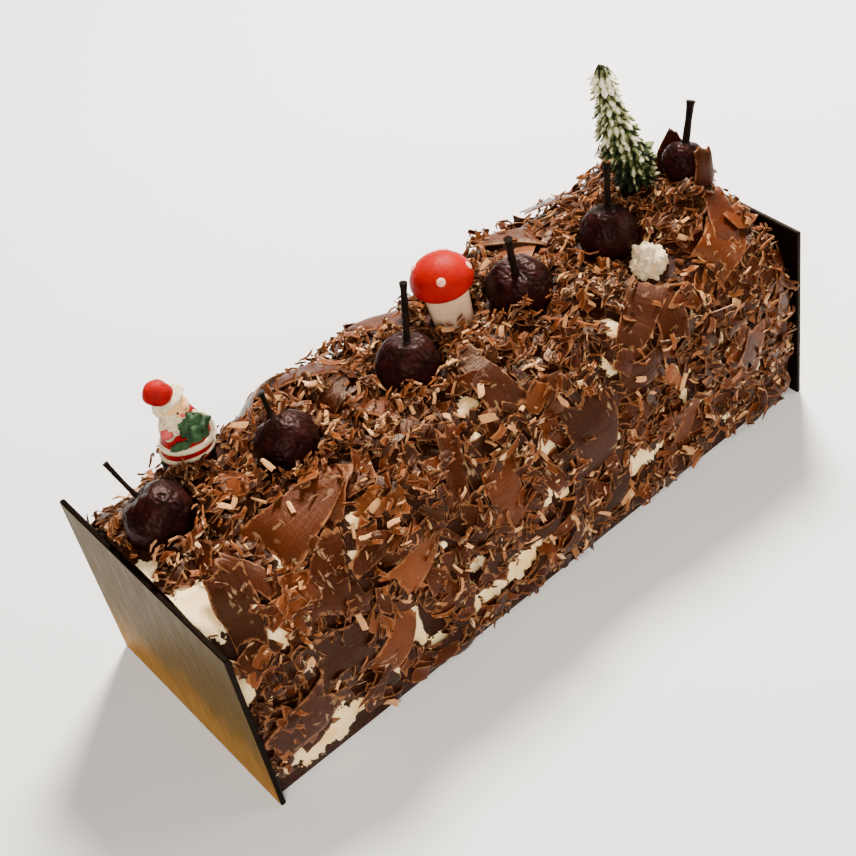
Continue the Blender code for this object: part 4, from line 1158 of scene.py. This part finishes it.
def cream_core(bed, finish):
    """The cream that covers the log: the section drawn along it in many rings and raised to its level."""
    bm = bmesh.new()
    bmesh.ops.create_circle(bm, cap_ends=True, segments=176, radius=1)
    half = math.pi / 2
    for vert in bm.verts:
        around = math.atan2(vert.co.x, vert.co.y)
        if abs(around) <= half:
            v = abs(around) / half * HALF_GIRTH
            y, z = np.interp(v, ARC, SECTION_Y), np.interp(v, ARC, SECTION_Z)
        else:
            y, z = BED_HALF_WIDTH * (2 - abs(around) / half), 0.0
        vert.co = Vector((-BODY_END, math.copysign(float(y), around), float(z)))
    bmesh.ops.translate(bm, verts=grow(bm, bm.faces[:]), vec=(2 * BODY_END, 0, 0))
    lengthwise = [edge for edge in bm.edges if abs(edge.verts[0].co.x - edge.verts[1].co.x) > BODY_END]
    bmesh.ops.subdivide_edges(bm, edges=lengthwise, cuts=230)
    points = np.array([vert.co for vert in bm.verts])
    v, _ = unroll(points)
    level = cream_level(points[:, 0], v) + bed.heights[bed.cells(points, v)]
    raised = bed_points(points[:, 0], v, level)
    inner = BED_HALF_WIDTH - CREAM_INSET
    for vert, point in zip(bm.verts, raised):
        if vert.co.z > 1e-6:
            vert.co = Vector(point)
        else:
            vert.co.y = min(max(vert.co.y, -inner), inner)
    for vert in bm.verts:
        vert.co.z = max(vert.co.z, 0.0)
    bare = bareness(points[:, 0], v).astype(np.float32)
    core = piece("cream_core", bm, finish, ("cake_log",), sharp=70)
    core.data.attributes.new("bare", "FLOAT", "POINT").data.foreach_set("value", bare)


def chocolate(finish, cream):
    """The cream core, the flakes that the solid has, and the finer ones under, between and on them."""
    mains = main_flakes()
    bed = FlakeBed(inside_toppings())
    cream_core(bed, cream)
    across = np.linspace(-BODY_END, BODY_END, bed.columns)[:, None] + np.zeros((1, bed.rows))
    round_ = np.linspace(-HALF_GIRTH, HALF_GIRTH, bed.rows)[None] + np.zeros((bed.columns, 1))
    bed.heights += cream_level(across, round_)
    placed = []
    for flake in mains:
        points = rows_moved(flake.samples(), flake.frame)
        bed.roof_with(points)
        placed.append(points + np.array(flake.frame)[:3, 2] * FLAKE_THICKNESS)
    rng = random.Random(FINE_SEED)
    under = strewn(bed, rng, scattered(rng, *UNDER_PLACES), UNDER)
    bed.ceiling[:] = 1.0
    for flake, points in zip(mains, placed):
        bed.raise_to(points)
        if flake.length > LARGE_LENGTH:
            bed.smooth[bed.cells(points, unroll(points)[0])] = True
    over = strewn(bed, rng, scattered(rng, *OVER_PLACES), OVER)
    over += strewn(bed, rng, heaped(rng), HEAP)
    crumbs = strewn(bed, rng, scattered(rng, *CRUMB_PLACES), CRUMBS)
    crumbs += strewn(bed, rng, heaped(rng), CRUMBS)
    # The flakes, then the cuts of their template, thickness in mm, seed, share of flecks and painted glints,
    # and how far their ends and sides are broken
    for name, flakes, cuts, thick, *form in (
        ("large_flakes", mains + standing_flakes(), (14, 10), 1.0, 1, 0.25, 0.10, 0.08),
        ("bed_flakes", under, (5, 3), 0.9, 2, 0.7, 0.09, 0.10),
        ("loose_flakes", over, (5, 3), 0.8, 3, 0.7, 0.10, 0.10),
        ("crumbs", crumbs, (2, 2), 0.8, 4, 0.9, 0.14, 0.14),
    ):
        joined_flakes(name, flakes, cuts, thick * MM, *form, finish)


# ------------------------------------------------------------------ cherries and the dab


def cherry_skin(index, cherry, finish):
    """A plump, slightly wrinkled cherry with a dimple round its stem."""
    bm = bmesh.new()
    bmesh.ops.create_icosphere(bm, subdivisions=6, radius=1)
    phase = cherry.x / (17 * MM)
    for vert in bm.verts:
        around, upright = math.atan2(vert.co.y, vert.co.x), vert.co.z
        dimple = 0.20 * max(0, (upright - 0.80) / 0.20) ** 1.5
        lobes = 0.025 * math.cos(2 * around + phase) + 0.02 * math.sin(5 * around + 4 * upright + phase)
        broad = noise.noise(vert.co * 2.6 + Vector((phase, 0, 0)))
        wrinkle = abs(noise.noise(vert.co * 5.5 + Vector((0, phase, 3))))
        level = 1 + lobes * math.sqrt(max(0, 1 - upright**2)) - dimple + 0.020 * broad - 0.045 * wrinkle
        vert.co *= cherry.radius * level
    moved(bm, Matrix.Translation(cherry.centre) @ cherry.axes)
    piece(f"cherry_skin_{index}", bm, finish, (f"cherry_{index}",), sharp=80)


def cherry_stalk(index, cherry, finish):
    """A stem that leaves the dimple along the cherry's axis, bends upright and ends in a small knob."""
    base = cherry.centre + cherry.axes @ Vector((0, 0, 0.82 * cherry.radius + GAP))
    heading = (cherry.axes @ Vector((0, 0, 1))).normalized()
    upright = Vector((0.08, 0, 1)).normalized()
    steps = 24
    points, step = [base], (cherry.stem_length + 0.1 * cherry.radius) / steps
    for number in range(1, steps + 1):
        share = min(1, number / steps * 5 / 3)
        points.append(points[-1] + heading.lerp(upright, share * cherry.stem_bend).normalized() * step)
    radii = []
    for number in range(steps + 1):
        along = number / steps
        flare = 0.25 * max(0, (along - 0.86) / 0.14) + 0.15 * max(0, (0.12 - along) / 0.12)
        radii.append(cherry.stem_radius * (0.92 + flare + 0.05 * math.sin(9 * along + index)))
    stalk = swept(points, radii, 14)
    piece(f"cherry_stalk_{index}", stalk, finish, (f"cherry_stem_{index}",), sharp=60)


def cream_dab(finish):
    """A small piped dab of cream, torn into soft peaks."""
    centre, along, across, normal = bed_frame(*DAB_PLACE)
    bm = bmesh.new()
    bmesh.ops.create_icosphere(bm, subdivisions=5, radius=1)
    for vert in bm.verts:
        broad = noise.noise(vert.co * 1.6 + Vector((4, 0, 0)))
        ruffle = 1 - 2 * abs(noise.noise(vert.co * 2.6))
        peaks = noise.noise(vert.co * 6.0 + Vector((0, 2, 0)))
        level = 0.78 + 0.40 * broad + 0.24 * ruffle + 0.18 * peaks
        vert.co = Vector([part * half * level for part, half in zip(vert.co, DAB_HALF_SIZE)])
    moved(bm, axes_at(centre, along, across, normal))
    piece("whipped_dab", bm, finish, ("cream_dab",), sharp=80)


# ------------------------------------------------------------------ the ornaments


def mushroom(red, spots, pale):
    """A toadstool with a squarish stem, a domed red cap and raised pale spots."""
    bm = bmesh.new()
    foot, neck = MUSHROOM_STEM_HALF * 0.94, MUSHROOM_STEM_HALF * 1.06
    bmesh.ops.create_cone(bm, cap_ends=True, segments=64, radius1=foot, radius2=neck, depth=1)
    for vert in bm.verts:
        around = math.atan2(vert.co.y, vert.co.x)
        vert.co.xy *= (abs(math.cos(around)) ** 4 + abs(math.sin(around)) ** 4) ** -0.25
        vert.co.z = MUSHROOM_STEM_HEIGHT if vert.co.z > 0 else 0
    rims = [edge for edge in bm.edges if abs(edge.verts[0].co.z - edge.verts[1].co.z) < 1e-6]
    rounding = {"offset": 0.8 * MM, "offset_type": "OFFSET", "segments": 4, "profile": 0.5, "material": -1}
    bmesh.ops.bevel(bm, geom=rims, affect="EDGES", **rounding)
    piece("toadstool_stem", moved(bm, MUSHROOM_AXES), pale, ("mushroom_stem",))

    radius, height, rim = MUSHROOM_CAP_RADIUS, MUSHROOM_CAP_HEIGHT, MUSHROOM_RIM_DEPTH
    steps = 20
    angles = [math.pi / 2 * number / steps for number in range(steps + 1)]
    dome = [(radius * math.sin(angle), height * math.cos(angle)) for angle in angles]
    under = [(radius * 0.985, -rim * 0.45), (radius * 0.93, -rim * 0.8), (radius * 0.80, -rim)]
    under += [(radius * 0.55, -rim * 0.7), (0, -rim * 0.6)]
    seat = MUSHROOM_AXES @ Matrix.Translation((0, 0, MUSHROOM_STEM_HEIGHT + rim + GAP))
    piece("toadstool_cap", moved(lathe(dome + under, 64), seat), red, ("mushroom_cap",))

    dots = []
    for around, from_top, size in CAP_SPOTS:
        turn, tip = math.radians(around), math.radians(from_top)
        outward = Vector((math.sin(tip) * math.cos(turn), math.sin(tip) * math.sin(turn), math.cos(tip)))
        spot = Vector((radius * outward.x, radius * outward.y, height * outward.z))
        normal = Vector((outward.x / radius, outward.y / radius, outward.z / height)).normalized()
        dot = bmesh.new()
        bmesh.ops.create_uvsphere(dot, u_segments=20, v_segments=10, radius=size * MM)
        flat = Matrix.Diagonal((1, 1, 0.28, 1))
        facing = Vector((0, 0, 1)).rotation_difference(normal).to_matrix().to_4x4()
        dots.append(moved(dot, seat @ Matrix.Translation(spot) @ facing @ flat))
    piece("toadstool_spots", merged(*dots), spots, ("mushroom_cap",))


BLADE_VERTS, BLADE_FACES = flake_template(5, 2)


def fir_blade(rng, across, start, height, length, droop, width, pale):
    """One drooping blade: the points of its slip in the tree's axes, in mm, and how frosted each is."""
    s, t, layer = BLADE_VERTS.T
    along = (s + 1) / 2
    half = width / 2 * np.sin(np.pi * np.clip(0.14 + 0.86 * along, 0, 1)) ** 0.7
    out = along * length * math.cos(droop) + 0.6 * along**2
    down = along * length * math.sin(droop) + 0.45 * np.abs(t) * half
    local = np.stack([out + start, t * half, height - down + layer * 0.55], -1)
    turn = np.array(Matrix.Rotation(across, 3, "Z"))
    return local @ turn.T, np.clip(pale + along * rng.uniform(0.7, 1.1) - 0.25 * np.abs(t), 0, 1)


def fir_tree(finish, bark):
    """A little fir: a trunk, a dark core, and tier over tier of drooping frosted blades."""
    rng = random.Random(FINE_SEED)
    points, frosts, cores = [], [], []
    for number, (rim, radius, depth, shift) in enumerate(TREE_TIERS):
        top = number == len(TREE_TIERS) - 1
        core = [(0, rim + depth - 0.6), (radius * 0.20, rim + 0.75 * depth)]
        core += [(radius * 0.60, rim + 1.2), (0, rim + 0.6)]
        core = lathe([(r * MM, h * MM) for r, h in core], 20)
        bmesh.ops.translate(core, verts=core.verts, vec=(shift * MM, 0, 0))
        cores.append(core)
        for level, share in TOP_TIER_RINGS if top else TIER_RINGS:
            reach, height = radius * share, rim + level * depth
            blades = max(6, round(2 * math.pi * reach / BLADE_PITCH))
            for blade in range(blades):
                around = 2 * math.pi * (blade + 0.5 * (level > 0.1) + rng.uniform(-0.22, 0.22)) / blades
                length = rng.uniform(6.0, 9.0) * (0.7 + 0.3 * min(1, reach / 8))
                droop = math.radians(rng.uniform(44, 66) - (0 if top else 6))
                start = max(0.0, reach - length * math.cos(droop) - 0.6)
                peak = min(height + length * math.sin(droop), TREE_PEAK)
                pale = float(np.interp(height, (12, 30, 50, 62), (-0.45, 0.0, 0.05, 0.45)))
                shape, frost = fir_blade(rng, around, start, peak, length, droop, rng.uniform(2.4, 3.5), pale)
                points.append(shape + np.array([shift, 0, 0]))
                frosts.append(frost)
    for level, height in enumerate((27.0, 23.2, 19.4, 15.6)):
        for around in (-62, -22, 18):
            across = math.radians(around + 14 * (level % 2) + rng.uniform(-4, 4))
            droop = math.radians(rng.uniform(2, 8))
            shape, frost = fir_blade(rng, across, 1.0, height, 8.0, droop, 5.2, -0.2)
            points.append(shape + np.array([3.4, 0, 0]))
            frosts.append(frost)

    shade = piece("fir_core", moved(merged(*cores), TREE_AXES), finish, ("fir_tree",))
    shade.data.attributes.new("frost", "FLOAT", "POINT")
    line = [TREE_AXES @ Vector((0, 0, height * MM)) for height in (0, 5, 10, 15)]
    trunk = swept(line, [radius * MM for radius in (2.6, 2.4, 2.4, 2.3)])
    piece("fir_trunk", trunk, bark, ("fir_tree",))

    placed = rows_moved(np.concatenate(points) * MM, TREE_AXES).reshape(len(points), -1, 3)
    frost = {"frost": np.concatenate(frosts)}
    joined_slips("fir_blades", placed, BLADE_FACES, frost, finish, ("fir_tree",), 40)


def bearded_figure(red, trim, skin, green, hands, dark):
    """A small bearded winter figure in a red coat and a soft cap, with a green bundle in its arms."""
    axes = FIGURE_AXES

    def dress(part, finish, *shapes):
        """One of the figure's pieces, from all its shapes."""
        piece(f"figure_{part}", merged(*shapes), finish, ("bearded_figure",))

    def swayed(point):
        """A point of the upright coat, moved sideways as the coat sways."""
        heights, shifts = zip(*COAT_SWAY)
        shift = float(np.interp(point.z / MM, heights, shifts)) * MM
        return axes @ Vector((point.x + shift, point.y, point.z))

    def on_cap(x, y, z):
        """Axes tilted like the cap, at a place in mm."""
        return axes @ Matrix.Translation(Vector((x, y, z)) * MM) @ Matrix.Rotation(CAP_TILT, 4, "Y")

    heights = np.linspace(0.5, 28.5, 40)
    radii = np.interp(heights, *reversed(list(zip(*COAT_PROFILE[2:-1]))))
    rows = [(0, 29)] + list(zip(radii, heights))[::-1] + [(8.4, 0), (0, 0)]
    coat = lathe([(float(radius) * MM, float(height) * MM) for radius, height in rows], 48)
    for vert in coat.verts:
        fold = 1 + 0.03 * math.sin(5 * math.atan2(vert.co.y, vert.co.x)) * (1 - vert.co.z / (30 * MM))
        vert.co.x, vert.co.y = vert.co.x * fold, vert.co.y * fold * COAT_DEPTH
        vert.co = swayed(vert.co)
    dress("coat", red, coat)

    rows = (0, 7.2), (9.0, 7.2), (9.4, 6.2), (9.3, 0.4), (0, 0.2)
    boots = lathe([(radius * MM, height * MM) for radius, height in rows], 48)
    for vert in boots.verts:
        vert.co.y *= COAT_DEPTH
        vert.co = swayed(vert.co)
    dress("boots", dark, boots)

    bands = []
    for level, thick in ((12.8, 1.2), (8.6, 0.8)):
        reach = float(np.interp(level, heights, radii)) - 0.1
        angles = [2 * math.pi * number / 40 for number in range(41)]
        ring = [Vector((reach * math.cos(a), COAT_DEPTH * reach * math.sin(a), level)) * MM for a in angles]
        bands.append(swept([swayed(point) for point in ring], [thick * MM] * len(ring), 10))
    edge = [(6.4, -4.5, 26.6), (9.4, -5.2, 24.6), (10.9, -5.6, 21)]
    edge += [(10.6, -5.8, 17), (8.6, -6.4, 14.2), (5.0, -7.2, 12.9)]
    thickness = [radius * MM for radius in (0.5, 0.7, 0.8, 0.8, 0.8, 0.7)]
    dress("trim", trim, *bands, swept([axes @ (Vector(point) * MM) for point in edge], thickness))

    head = ball((1.2, -0.8, 28.4), (4.9, 4.5, 5.0), axes)
    face = ball((2.6, -2.9, 28.0), (3.5, 2.9, 3.3), axes)
    dress("head", skin, head, face)
    beard = ball((-1.0, -4.0, 24.0), (4.0, 3.1, 4.5), axes, 44, 1.3, 1.4 * MM)
    hair = ball((-0.8, 0.8, 28.6), (4.9, 4.2, 5.0), axes, 32, 0.9, 1.8 * MM)
    moustache = ball((1.5, -5.2, 26.3), (2.5, 1.0, 0.8), axes, 24, 0.5, 1.0 * MM)
    cuff = ball((0, 0, 0), (5.6, 5.1, 1.8), on_cap(0.8, -0.2, 31.6), 40, 0.8, 1.5 * MM)
    dress("beard", trim, beard, hair, moustache, cuff)
    dress("nose", hands, ball((3.0, -5.9, 27.4), (0.8, 0.7, 0.7), axes, 14))
    eyes = [ball(place, (0.4, 0.35, 0.45), axes, 10) for place in ((1.6, -5.6, 28.7), (4.4, -5.0, 28.7))]
    dress("eyes", dark, *eyes)
    dress("cap", red, ball((0, 0, 0), (4.9, 4.4, 4.7), on_cap(-2.4, 0, 35.0), 40, 1.0, 4.5 * MM))

    bundle = ball((5.0, -6.0, 21.4), (5.2, 3.9, 5.3), axes, 44, 2.2, 2.2 * MM)
    leaf = ball((-1.2, -7.0, 15.8), (3.6, 1.7, 1.6), axes, 24, 0.8, 1.5 * MM)
    dress("bundle", green, bundle, leaf)
    dress("sleeve", trim, ball((-3.4, -3.2, 21.5), (2.6, 3.5, 4.9), axes, 24, 0.5, 2.4 * MM))
    dress("hand", hands, ball((-4.0, -6.0, 22.2), (2.1, 1.8, 1.9), axes, 20, 0.4, 1.6 * MM))


# ------------------------------------------------------------------ the studio


def studio():
    """A pale floor, a soft bright room and three soft lights, with the camera above the front left."""
    bm = bmesh.new()
    bmesh.ops.create_grid(bm, x_segments=1, y_segments=1, size=3)
    mesh = bpy.data.meshes.new("floor")
    bm.to_mesh(mesh)
    bm.free()
    floor = bpy.data.objects.new("floor", mesh)
    pale = paint_finish("pale_floor", (0.86, 0.86, 0.86), (0.84, 0.84, 0.84), 0.8, 4.0, 0.0)
    floor.data.materials.append(pale)
    bpy.context.scene.collection.objects.link(floor)

    world = bpy.data.worlds.new("studio")
    bpy.context.scene.world = world
    world.use_nodes = True
    background = world.node_tree.nodes["Background"].inputs
    background["Color"].default_value = (1.0, 0.97, 0.93, 1)
    background["Strength"].default_value = 0.18

    for name, place, size, power in LAMPS:
        lamp = bpy.data.lights.new(name, "AREA")
        lamp.shape = "DISK"
        lamp.size = size
        lamp.energy = power
        lamp.color = (1.0, 0.93, 0.84)
        holder = bpy.data.objects.new(name, lamp)
        holder.location = place
        holder.rotation_euler = (LAMP_TARGET - Vector(place)).to_track_quat("-Z", "Y").to_euler()
        bpy.context.scene.collection.objects.link(holder)

    camera = bpy.data.cameras.new("camera")
    camera.lens = CAMERA_LENS
    camera.sensor_width = 36
    camera.dof.use_dof = False
    holder = bpy.data.objects.new("camera", camera)
    holder.matrix_world = axes_at(CAMERA_PLACE, CAMERA_RIGHT, CAMERA_UP, CAMERA_RIGHT.cross(CAMERA_UP))
    bpy.context.scene.collection.objects.link(holder)
    bpy.context.scene.camera = holder


# ------------------------------------------------------------------ the whole cake

cream_paint = cream_finish()
chocolate(chocolate_finish(), cream_paint)
# The end plates' outer faces carry a painted reflection.
for end, outward in (("near", -1.0), ("far", 1.0)):
    plate = frame["nodes"][f"end_plate_{end}"]
    plate.data.materials.clear()
    plate.data.materials.append(plate_finish(f"{end}_plate_painted_reflection", outward))
cherry_paint, stem_paint = cherry_finish(), stem_finish()
for index, cherry in enumerate(CHERRIES, start=1):
    cherry_skin(index, cherry, cherry_paint)
    cherry_stalk(index, cherry, stem_paint)
cream_dab(paint_finish("dab_cream", (0.98, 0.80, 0.54), (0.72, 0.49, 0.27), 0.5, 300.0, 0.0004))
mushroom(
    paint_finish("toadstool_red", (0.36, 0.002, 0.0), (0.29, 0.001, 0.0), 0.4, 120.0, gloss=0.05),
    paint_finish("toadstool_spot", (0.90, 0.42, 0.32), (0.84, 0.30, 0.22), 0.5),
    paint_finish("toadstool_stem_paint", (0.72, 0.48, 0.32), (0.60, 0.38, 0.24), 0.55, 200.0),
)
fir_tree(fir_finish(), stem_paint)
bearded_figure(
    paint_finish("figure_red", (0.36, 0.001, 0.002), (0.17, 0.0, 0.001), 0.4, 170.0, gloss=0.06),
    paint_finish("figure_trim_cream", (0.84, 0.72, 0.50), (0.70, 0.56, 0.34), 0.6, 400.0, 0.0002),
    paint_finish("figure_skin", (0.80, 0.46, 0.19), (0.70, 0.36, 0.15), 0.5),
    paint_finish("figure_green", (0.055, 0.13, 0.05), (0.004, 0.016, 0.006), 0.5, 260.0, 0.0004),
    paint_finish("figure_pink", (0.62, 0.09, 0.09), (0.55, 0.06, 0.06), 0.5),
    stem_paint,
)
studio()
